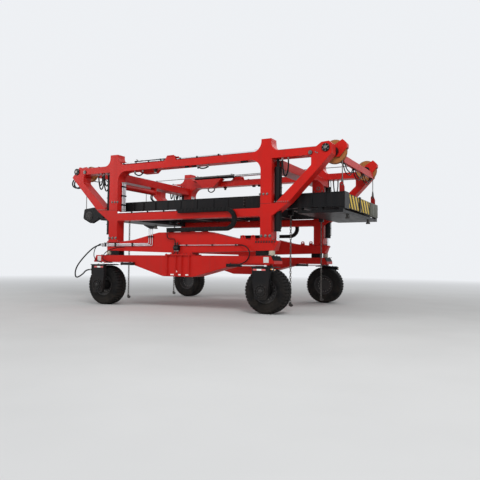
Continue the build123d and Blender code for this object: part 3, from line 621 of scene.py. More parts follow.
class Shape:
    """Gathers the solids of one piece in a mesh."""

    def __init__(self, name: str) -> None:
        """Start an empty piece."""
        self.name = name
        self.mesh = bmesh.new()

    def skin(self, rings: Sequence[Sequence[Point]], loop: bool = False) -> list[bmesh.types.BMVert]:
        """Close faces between rings of corners.

        Args:
            rings: Places of the corners, ring by ring. A ring may be one point.
            loop: Joins the last ring to the first. Otherwise both ends get a cap.

        Returns:
            The new corners.
        """
        rings = [[self.mesh.verts.new(place) for place in ring] for ring in rings]
        for lower, upper in zip(rings, rings[1:] + rings[:1] if loop else rings[1:]):
            count = max(len(lower), len(upper))
            for k in range(count):
                ahead = (k + 1) % count
                corners = [lower[k % len(lower)], lower[ahead % len(lower)]]
                corners += [upper[ahead % len(upper)], upper[k % len(upper)]]
                self.mesh.faces.new(list(dict.fromkeys(corners)))
        for ring in () if loop else (rings[0], rings[-1]):
            if len(ring) > 2:
                self.mesh.faces.new(ring)
        return [vert for ring in rings for vert in ring]

    def block(self, corner: Point, opposite: Point, bevel: float = 0.0) -> None:
        """Add a block.

        Args:
            corner: One corner.
            opposite: The opposite corner.
            bevel: Width of the edge bevel.
        """
        start, run = Vector(corner), Vector(opposite) - Vector(corner)
        place = Matrix.Translation(start + run / 2) @ Matrix.Diagonal((*map(abs, run), 1.0))
        made = bmesh.ops.create_cube(self.mesh, size=1.0, matrix=place)
        if bevel:
            edges = list({edge for vert in made["verts"] for edge in vert.link_edges})
            bmesh.ops.bevel(self.mesh, geom=edges, offset=bevel, segments=2, affect="EDGES", profile=0.6)

    def turned(self, centre: Point, axis: Point, profile: Rows, sides: int = 32) -> None:
        """Add a body turned about an axis.

        Args:
            centre: Point on the axis that the profile's distances start from.
            axis: Direction of the axis.
            profile: Rows of distance along the axis and radius. Equal first and last rows close it.
            sides: Facets around.
        """
        closed = profile[0] == profile[-1]
        rows = profile[:-1] if closed else profile
        self.skin([circle(centre, axis, r, sides if r else 1, along=along) for along, r in rows], closed)

    def rod(self, start: Point, end: Point, radius: float, sides: int = 6, edge: float = 0.002) -> None:
        """Add a round rod.

        Args:
            start: Middle of its first end.
            end: Middle of its last end.
            radius: Its radius.
            sides: Facets around.
            edge: How far its end edges are broken.
        """
        run = Vector(end) - Vector(start)
        rows = [(0, radius - edge), (edge, radius), (run.length - edge, radius), (run.length, radius - edge)]
        self.turned(start, run.normalized(), rows if edge else rows[1:3], sides)

    def ring(self, centre: Point, axis: Point, inner: float, outer: float, depth: float, sides=32) -> None:
        """Add a flat ring whose depth runs along the axis."""
        self.turned(centre, axis, [(0, inner), (0, outer), (depth, outer), (depth, inner), (0, inner)], sides)

    def button(self, at: Point, axis: Point, base: Pair, top: Pair, sides: int) -> None:
        """Add a boss that is straight up to its base's end and narrows to its top.

        Args:
            at: Its foot.
            axis: Direction that it stands in.
            base: Radius and height where it stops being straight.
            top: Radius and height of its top.
            sides: Facets around.
        """
        (wide, straight), (narrow, high) = base, top
        self.turned(at, axis, [(0, wide), (straight, wide), (high, narrow), (high, 0)], sides)

    def bolts(self, places: Iterable[Point], outward: Point, across: float, height: float) -> None:
        """Add hexagon heads on washers.

        Args:
            places: Feet of the bolts.
            outward: Direction that the heads point in.
            across: Width across the head.
            height: Height over the foot.
        """
        foot, wide, head = height * 0.2, across * 0.75, across * 0.56
        for at in places:
            self.turned(at, outward, [(0, wide), (foot, wide), (foot, head)], 16)
            self.turned(at, outward, [(foot, head), (height * 0.9, head), (height, across * 0.45)], 6)

    def bolt_circle(self, centre: Point, axis: Point, radius: float, count: int, across: float) -> None:
        """Add bolts on a circle around an axis."""
        self.bolts(circle(centre, axis, radius, count, 0.5), axis, across, across * 0.6)

    def plate(self, outline: Rows, y: float, thickness: float, bevel: float) -> None:
        """Add an upright plate.

        Args:
            outline: Its corners in X and Z.
            y: Its face towards -Y.
            thickness: Its thickness along Y.
            bevel: Width of the edge bevel.
        """
        verts = self.skin([[(x, at, z) for x, z in outline] for at in (y, y + thickness)])
        bmesh.ops.recalc_face_normals(self.mesh, faces=self.mesh.faces[:])
        edges = list({edge for vert in verts for edge in vert.link_edges})
        bmesh.ops.bevel(self.mesh, geom=edges, offset=bevel, segments=1, affect="EDGES")

    def tube(self, points: Sequence[Point], radius: float, sides: int = 10, smooth: int = 0) -> None:
        """Add a tube along points.

        Args:
            points: Points of the centreline.
            radius: Radius of the tube.
            sides: Facets around.
            smooth: Rounds of corner cutting that smooth the line.
        """
        line = [Vector(point) for point in points]
        for _ in range(smooth):
            cuts = [here.lerp(there, share) for here, there in zip(line, line[1:]) for share in (0.25, 0.75)]
            line = [line[0], *cuts, line[-1]]
        rings, normal = [], None
        for k, here in enumerate(line):
            ahead = (line[min(k + 1, len(line) - 1)] - line[max(k - 1, 0)]).normalized()
            if normal is None:
                normal = ahead.orthogonal().normalized()
            normal = (normal - ahead * normal.dot(ahead)).normalized()
            rings.append(around(here, normal, ahead.cross(normal), radius, sides))
        self.skin(rings)

    def mirror(self, keep: bool) -> None:
        """Mirror everything so far to the other side of the crane.

        Args:
            keep: Keeps the near side too.
        """
        parts = self.mesh.verts[:] + self.mesh.edges[:] + self.mesh.faces[:]
        if keep:
            parts = bmesh.ops.duplicate(self.mesh, geom=parts)["geom"]
        for part in parts:
            if isinstance(part, bmesh.types.BMVert):
                part.co.y = -part.co.y

    def done(self, body: str | None, finish: Finish, replaces: Sequence[str] = ()) -> bpy.types.Object:
        """Turn the gathered mesh into a piece that rides on a body.

        Args:
            body: The body that the piece rides on, or None for a piece that rides on no body.
            finish: Its finish.
            replaces: Nodes that the piece stands for.

        Returns:
            The new object.
        """
        bmesh.ops.recalc_face_normals(self.mesh, faces=self.mesh.faces[:])
        for face in self.mesh.faces:
            face.smooth = True
        for edge in self.mesh.edges:
            edge.smooth = len(edge.link_faces) == 2 and edge.calc_face_angle(0.0) < SHARP_FROM
        data = bpy.data.meshes.new(self.name)
        self.mesh.to_mesh(data)
        self.mesh.free()
        data.materials.append(finish.material())
        piece = bpy.data.objects.new(self.name, data)
        bpy.context.scene.collection.objects.link(piece)
        if body:
            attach(piece, body)
        if replaces:
            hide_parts(*replaces)
        LOG.info("%s: %d faces on %s", self.name, len(data.polygons), body or "two bodies")
        return piece


class Fittings:
    """Pieces drawn on the near side, and placed on one side of the crane or on both."""

    body: str
    side: Side | None = None
    label: str = ""

    def piece(
        self, name: str, finish: Finish, replaces: Sequence[str] = (), as_drawn: bool = False, **solids: list
    ) -> None:
        """Build a piece.

        Args:
            name: Its name, before the label of its side or corner.
            finish: Its finish.
            replaces: Nodes that it stands for.
            as_drawn: Leaves it where it is drawn, with no mirror image.
            solids: Rows of arguments by the method of Shape that takes them.
        """
        shape = Shape(f"{name}_{self.label}" if self.label else name)
        for method, rows in solids.items():
            for row in rows:
                getattr(shape, method)(*row)
        if self.side is not Side.NEAR and not as_drawn:
            shape.mirror(keep=self.side is None)
        shape.done(self.body, finish, replaces)


def corner_name(side: Side, end: End) -> str:
    """Name of a corner as the bodies carry it."""
    return f"{side.label}_{end.name.lower()}"


@dataclass
class Wheel:
    """A tyre with two rings of tread lugs and a ribbed sidewall, and its rim's dishes and bolts."""

    side: Side
    end: End
    axle_x: float = 2.88
    middle_y: float = 2.42
    radius: float = 0.63
    lugs: int = 40
    lug_base: float = 0.602
    lug_share: float = 0.74
    lug_tops: Rows = ((-1.0, 0.005), (-0.88, 0.0), (0.0, 0.0), (0.88, 0.0), (1.0, 0.005))
    lug_sections: Table = (
        (0.008, -0.10, 0.001, 0.90), (0.030, -0.07, 0.0002, 1.0), (0.150, 0.02, 0.0002, 1.0),
        (0.178, 0.06, 0.004, 1.0), (0.200, 0.08, 0.016, 0.98), (0.2260, 0.10, 0.058, 0.94),
    )
    tyre_half: Rows = (
        (0.0, 0.602), (0.150, 0.601), (0.190, 0.594), (0.212, 0.582), (0.224, 0.562), (0.2315, 0.520),
        (0.2305, 0.512), (0.2365, 0.504), (0.2395, 0.460), (0.2400, 0.446), (0.2365, 0.440), (0.2400, 0.434),
        (0.2370, 0.424), (0.2290, 0.396), (0.2240, 0.378), (0.2260, 0.372), (0.2180, 0.362), (0.1950, 0.340),
    )
    dish: Rows = (
        (0.046, 0.150), (0.050, 0.196), (0.068, 0.206), (0.070, 0.246), (0.090, 0.258), (0.128, 0.292),
        (0.142, 0.296), (0.148, 0.306), (0.180, 0.318), (0.194, 0.328), (0.196, 0.337), (0.188, 0.340),
        (0.176, 0.328), (0.140, 0.316), (0.118, 0.302), (0.040, 0.240), (0.040, 0.150), (0.046, 0.150),
    )

    def build(self) -> None:
        """Build the tyre, the rim's dishes and its bolts."""
        name = corner_name(self.side, self.end)
        body = f"wheel_{name}"
        centre = Vector((self.end.value * self.axle_x, self.side.value * self.middle_y, self.radius))
        tyre, dish, bolts = (Shape(f"{stem}_{name}") for stem in ("tyre_tread", "rim_dish", "rim_bolts"))
        half = [(-along, radius) for along, radius in self.tyre_half]
        tyre.turned(centre, (0, 1, 0), [*reversed(half), *self.tyre_half[1:], half[-1]], 96)
        for across in SIGNS:
            outward = Vector((0, across, 0))
            for k in range(self.lugs):
                self._lug(tyre, centre, across, 2 * math.pi * (k + (0.5 if across > 0 else 0.0)) / self.lugs)
            bolts.bolt_circle(centre + 0.069 * outward, outward, 0.226, 16, 0.026)
            dish.turned(centre, outward, self.dish, 64)
            for spoke in around(Vector(), Vector(ALONG), Vector(UP), 1.0, 10, 0.5):
                at = centre + 0.274 * spoke + 0.106 * outward
                dish.ring(at, (outward - 0.7 * spoke).normalized(), 0.012, 0.020, 0.006, 16)
        inward = Vector((0, -self.side.value, 0))
        valve = centre + 0.10 * inward
        bolts.rod(valve + Vector((0.292, 0, 0)), valve + Vector((0.268, 0, 0)) + 0.05 * inward, 0.006, 8, 0.0)
        tyre.done(body, Finish.TYRE, [f"tyre_{name}"])
        dish.done(body, Finish.RIM)
        bolts.done(body, Finish.BOLT)

    def _lug(self, tyre: Shape, centre: Vector, across: int, angle: float) -> None:
        """Add one tread lug that leans from the middle over the shoulder.

        Args:
            tyre: The shape to add it to.
            centre: Middle of the wheel.
            across: The half of the tread, -1 or 1.
            angle: Angle of the lug's middle about the axle.
        """
        half_angle = self.lug_share * math.pi / self.lugs
        rings = []
        for along, lean, drop, width in self.lug_sections:
            top = self.radius - drop
            foot = self.lug_base - 0.012 if along < 0.19 else top - 0.035
            corners = [(span, along, top - sunk) for span, sunk in self.lug_tops]
            corners += [(span, min(along, 0.222), foot) for span in (1.06, -1.06)]
            ring = []
            for span, out, radius in corners:
                turn = angle + (across * lean + span * width) * half_angle
                ring.append(centre + Vector((radius * math.cos(turn), across * out, radius * math.sin(turn))))
            rings.append(ring)
        tyre.skin(rings)


@dataclass
class SteeredFork(Fittings):
    """Bolts, hub cap, marker strips and lamps of one wheel fork."""

    side: Side = Side.NEAR
    end: End = End.LEFT
    axle_x: float = 2.88
    middle_y: float = -2.42
    axle_z: float = 0.63
    leg_face: float = -2.90
    hub_face: float = -2.914
    cap_face: float = -2.924
    plate_top: float = 1.293
    rib_z: Pair = (0.98, 1.262)
    marker_z: Pair = (1.188, 1.234)
    lamp_x: float = 3.145
    lid: Rows = ((0, 0.060), (0.010, 0.060), (0.016, 0.052), (0.018, 0.020), (0.018, 0))
    dome: Rows = ((0, 0.017), (0.008, 0.017), (0.014, 0.010), (0.015, 0))

    @property
    def label(self) -> str:
        """Name of the fork's corner."""
        return corner_name(self.side, self.end)

    @property
    def body(self) -> str:
        """Name of the fork's body."""
        return f"fork_{self.label}"

    def build(self) -> None:
        """Build the fork's fittings."""
        x = self.end.value * self.axle_x
        hub, cap = (x, self.hub_face, self.axle_z), (x, self.cap_face, self.axle_z)
        plate = [(x + dx, self.middle_y + 0.10, self.plate_top) for dx in (-0.20, -0.07, 0.07, 0.20)]
        plate += [(x + dx, self.middle_y - 0.22, self.plate_top) for dx in (-0.20, 0.20)]
        self.piece(
            "hub_bolts", Finish.DARK_BOLT, bolt_circle=[(hub, OUT, 0.168, 12, 0.024)],
            bolts=[(circle(cap, OUT, 0.088, 6, 0.25), OUT, 0.022, 0.012), (plate, UP, 0.034, 0.018)],
        )
        rim = (cap, OUT, 0.104, 0.120, 0.006, 40)
        self.piece("hub_cap", Finish.DARK_BOLT, turned=[(cap, OUT, self.lid)], ring=[rim])
        face, (foot, head) = self.leg_face, self.rib_z
        ribs = [((x - 0.255, face, head - 0.016), (x + 0.255, face - 0.010, head + 0.006), 0.004)]
        for at in (x - 0.245, x + 0.245):
            ribs.append(((at - 0.012, face, foot), (at + 0.012, face - 0.012, head), 0.004))
        self.piece("fork_ribs", Finish.FORK_BLACK, block=ribs)
        middle, (low, high) = x - self.end.value * 0.05, self.marker_z
        # Painted glow: the marker strips glow through their lens finishes.
        for name, finish, spans in (
            ("marker_strip_red", Finish.RED_LENS, ((-0.19, -0.07), (0.07, 0.19))),
            ("marker_strip_white", Finish.CLEAR, ((-0.07, 0.07),)),
        ):
            strips = [((middle + a, face, low), (middle + b, face - 0.006, high), 0.002) for a, b in spans]
            self.piece(name, finish, block=strips)
        if self.end is End.RIGHT:
            self._lamps()

    def _lamps(self) -> None:
        """Add the round lamps on the fork's lamp block, and their rims."""
        x, rims = self.lamp_x, []
        for name, finish, dx in (("lamp_amber", Finish.AMBER, 0.026), ("lamp_clear", Finish.CLEAR, 0.066)):
            places = (((x + dx, -2.86, 1.228), OUT), ((x + 0.09, dx - 2.84, 1.215), ALONG))
            self.piece(name, finish, turned=[(at, axis, self.dome, 20) for at, axis in places])
            rims += [(at, axis, 0.0172, 0.0205, 0.007, 20) for at, axis in places]
        shade = ((x - 0.002, -2.864, 1.160), (x + 0.092, -2.860, 1.172), 0.001)
        self.piece("lamp_rims", Finish.DARK_BOLT, ring=rims, block=[shade])


@dataclass
class MotorHose:
    """The hose that hangs from a saddle beam's pipes to a -X wheel's fork, with its end fittings."""

    side: Side
    radius: float = 0.022
    length: float = 2.50
    route: tuple[Point, ...] = (
        (-3.150, 2.412, 1.925), (-3.400, 2.412, 1.925), (-3.740, 2.540, 1.610), (-4.140, 2.600, 1.160),
        (-4.040, 2.700, 0.800), (-3.620, 2.790, 0.950), (-3.400, 2.845, 1.120), (-3.190, 2.845, 1.120),
    )
    bend_from: Point = (-3.4, 2.5, 1.88)
    bend_to: Point = (-3.4, 2.5, 1.15)

    def _sided(self, point: Point) -> Point:
        """Place a point on this side of the crane."""
        return (point[0], self.side.value * point[1], point[2])

    def build(self) -> None:
        side, body, fork = self.side.label, self.side.body, f"fork_{self.side.label}_left"
        points = [self._sided(point) for point in self.route]
        line = spline_points(f"hose_line_{side}", points)
        hose = Shape(f"hose_{side}")
        hose.tube(line, self.radius, 16)
        piece = hose.done(None, Finish.HOSE, [f"motor_hose_{side}"])
        for name, on, end, inner in (
            ("hose_top_fitting", body, line[0], line[3]), ("hose_end_fitting", fork, line[-1], line[-4])
        ):
            along = (Vector(inner) - Vector(end)).normalized()
            fitting = Shape(f"{name}_{side}")
            fitting.turned(end, along, [(-0.004, 0.019), (0.0, 0.027), (0.055, 0.027), (0.06, 0.0235)], 24)
            fitting.turned(end, along, [(-0.006, 0.030), (0.014, 0.030)], 6)
            fitting.done(on, Finish.SILVER)
        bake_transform(piece)


@dataclass
class FrameFittings(Fittings):
    """Bolts, seams, pipe clamps, hoses and cylinder fittings of the upper frame, on both sides."""

    body: str = "upper_frame"
    outer_y: float = -2.365
    inner_y: float = -2.015
    column_x: float = 2.76
    column_half: float = 0.1725
    brace_foot_x: float = 3.431
    seam_z: float = 3.060
    cap_y: float = -2.393
    caps: Rows = ((4.500, 4.480), (-4.395, 4.435))
    eyes: Rows = ((4.073, 4.378), (-4.030, 4.400))
    lift_x: float = 3.05
    lift_y: float = -2.19
    lift_z: Pair = (2.277, 4.083)
    hoist_y: float = -1.85
    hoist_z: float = 4.665
    rope_y: float = -1.695
    chord_z: float = 4.530
    under_chord_z: float = 4.315
    work_lamp: Pair = (-1.155, -2.25)
    clamp_z: tuple[float, ...] = (3.25, 3.55, 3.85)
    clamp_x: tuple[float, ...] = (-2.00, -1.37, -0.74, -0.24)
    chord_block_x: tuple[float, ...] = (-2.36, -1.86, -1.36, -0.88, -0.16, 0.45, 1.20)
    loops: Table = (
        (-3.66, -2.10, 0.15, 0.36), (-3.56, -2.20, 0.20, 0.52), (-3.40, -2.10, 0.17, 0.40),
        (-3.30, -2.24, 0.22, 0.60), (-3.22, -2.12, 0.19, 0.30), (3.22, -2.28, 0.17, 0.52),
        (-1.95, -2.28, 0.30, 0.16), (0.45, -2.28, 0.34, 0.10),
    )
    arm_hose: tuple[Point, ...] = (
        (-4.52, 0.0, 4.250), (-4.62, 0.0, 4.225), (-4.71, -0.01, 4.12), (-4.70, -0.02, 3.99),
        (-4.56, -0.03, 3.90), (-4.40, -0.03, 3.90), (-4.27, -0.03, 3.945),
    )
    end_runs: Table = ((4.700, 4.190, 0.24), (4.755, 4.190, 0.17), (-4.825, 4.480, 0.15))

    def build(self) -> None:
        """Build every fitting of the upper frame."""
        self._seams()
        self._bolts()
        self._pipe_clamps()
        self._lift_cylinders()
        self._hoist_cylinders()
        self._chord_fittings()
        self._covers_and_lamps()
        self._hoses()
        self._end_hoses()

    def _seams(self) -> None:
        """Draw the joint between truss and lower frame as thin dark gaskets."""
        thin, low, high = 0.0015, self.seam_z - 0.0035, self.seam_z + 0.0035
        spans = [(sign * (self.column_x - self.column_half), sign * self.brace_foot_x) for sign in SIGNS]
        faces = (self.outer_y, self.inner_y)
        seams = [((a, y - thin, low), (b, y + thin, high)) for a, b in spans for y in faces]
        seams += [((x - thin, faces[0], low), (x + thin, faces[1], high)) for span in spans for x in span]
        self.piece("frame_seams", Finish.DARK_BOLT, block=seams)

    def _bolts(self) -> None:
        """Add the bolts on columns, feet, braces and caps, and the nuts on the shafts' ends."""
        face, columns = self.outer_y, (-self.column_x, self.column_x)
        inward = self.column_x - 0.07
        upper = [(x + dx, face, 3.325) for x in (-inward, inward) for dx in (-0.1125, 0.0, 0.1125)]
        lower = [(x + dx, face, 2.150) for x in columns for dx in (-0.135, 0.0, 0.135)]
        sides = [(x + dx, 2.048) for x in columns for dx in (-0.196, 0.196)]
        feet = [(x, y, z) for x, z in sides for y in (-2.33, -2.25, -2.13, -2.05)]
        start = self.column_x + self.column_half + 0.10
        braces = [(sign * (start + 0.065 * k), face, self.seam_z + 0.035) for sign in SIGNS for k in range(7)]
        caps, eyes = ([(x, self.cap_y, z) for x, z in rows] for rows in (self.caps, self.eyes))
        rounds = [at for cap in caps for at in circle(cap, OUT, 0.080, 6, 0.5)]
        plugs = [(4.215, face, 4.385), (4.260, face, 4.358)]
        self.piece(
            "frame_bolts", Finish.BOLT,
            bolts=[
                (upper, OUT, 0.046, 0.03), (lower, OUT, 0.058, 0.042), (feet, UP, 0.032, 0.022),
                (braces + rounds, OUT, 0.022, 0.014), (plugs, OUT, 0.026, 0.014),
            ],
            ring=[(at, OUT, 0.034, 0.052, 0.008, 24) for at in eyes],
            button=[(at, OUT, (0.052, 0.022), (0.044, 0.028), 6) for at in caps]
            + [(at, OUT, (0.024, 0.016), (0.018, 0.020), 6) for at in eyes],
        )

    def _pipe_clamps(self) -> None:
        """Close plastic clamps over the frame's silver pipes, with their screws and unions."""
        face = self.column_half - self.column_x
        clamps = [((face, -2.196, z - 0.024), (face + 0.062, -1.984, z + 0.024), 0.005) for z in self.clamp_z]
        clamps += [((x - 0.024, -2.363, 2.939), (x + 0.024, -2.147, 3.001), 0.005) for x in self.clamp_x]
        self.piece("frame_pipe_clamps", Finish.PLASTIC, block=clamps)
        column = [(face + 0.062, y, z) for z in self.clamp_z for y in (-2.125, -2.055)]
        chord = [(x, y, 3.001) for x in self.clamp_x for y in (-2.29, -2.22)]
        screws = [(column, ALONG, 0.014, 0.008), (chord, UP, 0.014, 0.008)]
        self.piece("frame_clamp_screws", Finish.BOLT, bolts=screws)
        x, unions = face + 0.034, []
        for step in (0.0, 0.07, 0.14):
            y, size = -2.16 + step, (0.030, 6, 0.003)
            unions += [((x, y, low), (x, y, high), *size) for low, high in ((3.955, 3.998), (3.080, 3.120))]
            unions.append(((-0.215, step - 2.325, 2.971), (-0.165, step - 2.325, 2.971), *size))
        self.piece("frame_pipe_unions", Finish.SILVER, rod=unions)
        across = [((-3.014, y - 0.024, 4.300), (-2.766, y + 0.024, 4.364), 0.005) for y in (-1.6, 0.0, 1.6)]
        self.piece("cross_pipe_clamps", Finish.PLASTIC, as_drawn=True, block=across)

    def _lift_cylinders(self) -> None:
        """Add collars, ports and the riser pipes of the lift cylinders."""
        y, (foot, head) = self.lift_y, self.lift_z
        collars, clips, risers, ports = [], [], [], []
        for sign in SIGNS:
            x = sign * self.lift_x
            pipe = x + sign * 0.112
            for z, depth in ((foot, 0.05), (head - 0.05, 0.05), (3.20, 0.016), (3.245, 0.016)):
                collars.append(((x, y, z), UP, 0.088, 0.0985, depth, 40))
            for z in (2.62, 3.50, 3.95):
                corner = (pipe - 0.026, y - 0.016, z - 0.012)
                clips.append((corner, (pipe + 0.016, y + 0.016, z + 0.012), 0.003))
            line = [(x + sign * 0.088, y, 2.36), (pipe, y, 2.36), (pipe, y, 2.42), (pipe, y, 4.16)]
            risers.append(([*line, (pipe - sign * 0.03, y - 0.03, 4.315)], 0.011, 10, 2))
            ports.append(((x + sign * 0.085, y, 2.36), (x + sign * 0.104, y, 2.36), 0.019, 6, 0.0))
        self.piece("lift_cylinder_collars", Finish.BLACK, ring=collars, block=clips)
        self.piece("lift_cylinder_risers", Finish.HOSE, tube=risers, rod=ports)

    def _hoist_cylinders(self) -> None:
        """Add glands, straps and ports of the hoist cylinders, and the ropes over the sheaves."""
        y, z = self.hoist_y, self.hoist_z
        rings = [((x, y, z), ALONG, 0.040, 0.078, 0.045, 40) for x in (-2.28, -0.60)]
        rings += [((x, y, z), ALONG, 0.066, 0.0745, 0.05, 40) for x in (-2.05, -1.30)]
        feet = [
            ((x, at - 0.014, z - 0.070), (x + 0.05, at + 0.014, z + 0.012), 0.003)
            for x in (-2.05, -1.30) for at in (y - 0.088, y + 0.088)
        ]
        self.piece("hoist_cylinder_glands", Finish.BLACK, ring=rings, block=feet)
        ports = [((x, y, z + 0.064), (x, y, z + 0.105), 0.020) for x in (-2.20, -0.68)]
        ports += [((x, y - 0.01, z + 0.098), (x, y - 0.075, z + 0.098), 0.013, 12) for x in (-2.20, -0.68)]
        self.piece("hoist_cylinder_ports", Finish.SILVER, rod=ports)
        lines = [[(-4.375, self.rope_y, 4.655), (2.27, self.rope_y, 4.680)]]
        for x, z_axle, sign in ((4.545, 4.475, 1), (-4.375, 4.450, -1)):
            quarter = around(Vector((x, self.rope_y, z_axle)), Vector((sign, 0, 0)), Vector(UP), 0.205, 48)
            lines.append(quarter[:13])
        self.piece("rope_over_sheaves", Finish.ROPE, tube=[(line, 0.0128, 12) for line in lines])

    def _chord_fittings(self) -> None:
        """Add the bracket, the pipes and the small blocks on the top chord."""
        outline = [(-0.78, 4.528), (-0.33, 4.528), (-0.40, 4.70), (-0.66, 4.70)]
        self.piece(
            "chord_bracket", Finish.RED, plate=[(outline, y, 0.016, 0.003) for y in (-2.33, -2.08)],
            block=[((-0.655, -2.33, 4.66), (-0.405, -2.064, 4.676), 0.003)],
        )
        pipes = [(-4.10, -2.985, y, 4.553, 0.017) for y in (-2.21, -2.15)]
        for y in (-2.335, -2.285):
            pipes += [(-2.42, -0.80, y, 4.566, 0.020), (-0.28, 1.30, y, 4.562, 0.015)]
        runs = [([(start, y, z), (end, y, z)], radius, 12) for start, end, y, z, radius in pipes]
        self.piece("chord_pipes", Finish.PIPE, tube=runs)
        foot, spans = self.chord_z, ((0.02, 0.12), (0.26, 0.38), (1.94, 2.14))
        blocks = [((x - 0.02, -2.245, foot), (x + 0.02, -2.115, 4.578), 0.004) for x in (-3.95, -3.55, -3.12)]
        for x in self.chord_block_x:
            blocks.append(((x - 0.022, -2.362, foot), (x + 0.022, -2.258, 4.592), 0.004))
        blocks += [((low, -2.350, 4.275), (high, -2.250, 4.322), 0.006) for low, high in spans]
        self.piece("chord_blocks", Finish.PLASTIC, block=blocks)

    def _covers_and_lamps(self) -> None:
        """Lay covers of painted shade, in the shaded copy of the red, over the crowns and on the chord, and
        hang the work lamp under the chord.
        """
        # Painted shade: these thin covers take the shaded copy of the red to darken the crowns and the chord.
        shaded_covers = [((-2.56, -2.32, self.chord_z), (-2.38, -2.06, 4.64), 0.02)]
        for x in (-self.column_x, self.column_x):
            shaded_covers.append(((x - 0.11, -2.31, 4.884), (x + 0.11, -2.07, 4.8848)))
        self.piece("crown_shaded_covers", Finish.DARK_RED, block=shaded_covers)
        x, y = self.work_lamp
        case = ((x - 0.05, y - 0.05, 4.275), (x + 0.05, y + 0.05, 4.322), 0.006)
        shade = ((x, y, 4.275), DOWN, [(0, 0.034), (0.05, 0.046), (0.055, 0.044)], 20)
        self.piece("work_lamps", Finish.DARK_BOLT, block=[case], turned=[shade])
        glass = [(0, 0.042), (0.004, 0.040), (0.010, 0.020), (0.011, 0)]
        self.piece("work_lamp_glass", Finish.CLEAR, turned=[((x, y, 4.219), DOWN, glass, 20)])

    def _hoses(self) -> None:
        """Hang the black hoses that bridge the pipes, the arms and the cylinders."""
        hoses, ends, z = [], [], self.under_chord_z
        for x, y, wide, deep in self.loops:
            loop = [
                (x, y, z), (x, y, z - 0.10), (x + 0.02, y, z - 0.6 * deep),
                (x + 0.35 * wide, y + 0.02, z - deep), (x + 0.75 * wide, y + 0.03, z - 0.92 * deep),
                (x + wide, y + 0.03, z - 0.5 * deep),
                (x + wide, y + 0.02, z - 0.08), (x + wide, y + 0.02, z),
            ]
            hoses.append((loop, 0.021, 10, 3))
            ends += [((a, b, z + 0.004), (a, b, z - 0.05), 0.027) for a, b, _ in (loop[0], loop[-1])]
        for y in (-2.15, -2.24):
            loop = [(x, y + aside, z) for x, aside, z in self.arm_hose]
            hoses.append((loop, 0.024, 10, 3))
            for at, inner in ((loop[0], loop[1]), (loop[-1], loop[-2])):
                step = (Vector(inner) - Vector(at)).normalized() * 0.055
                ends.append((at, Vector(at) + step, 0.030))
        self.piece("frame_hoses", Finish.HOSE, tube=hoses)
        self.piece("frame_hose_ends", Finish.SILVER, rod=ends)

    def _end_hoses(self) -> None:
        """Clip the hoses that run across under the end ties."""
        hoses, clips = [], []
        for x, tie_z, sag in self.end_runs:
            z = tie_z - 0.018
            line = [(x, -1.66, z)]
            for y in (-1.50, -0.50, 0.50, 1.50):
                corner = (x - 0.020, y - 0.020, z - 0.020)
                clips.append((corner, (x + 0.020, y + 0.020, tie_z + 0.002), 0.003))
                line += [(x, y - 0.03, z), (x, y + 0.03, z)]
                if y < 1.50:
                    line += [(x, y + 0.24, z - 0.9 * sag), (x, y + 0.76, z - sag)]
            hoses.append(([*line, (x, 1.66, z)], 0.015, 10, 3))
        self.piece("end_hoses", Finish.HOSE, as_drawn=True, tube=hoses)
        self.piece("end_hose_clips", Finish.PLASTIC, as_drawn=True, block=clips)


@dataclass
class BeamFittings(Fittings):
    """Fittings of one undercarriage."""

    side: Side = Side.NEAR

    @property
    def label(self) -> str:
        """Name of the side."""
        return self.side.label

    @property
    def body(self) -> str:
        """Name of the side's undercarriage."""
        return self.side.body


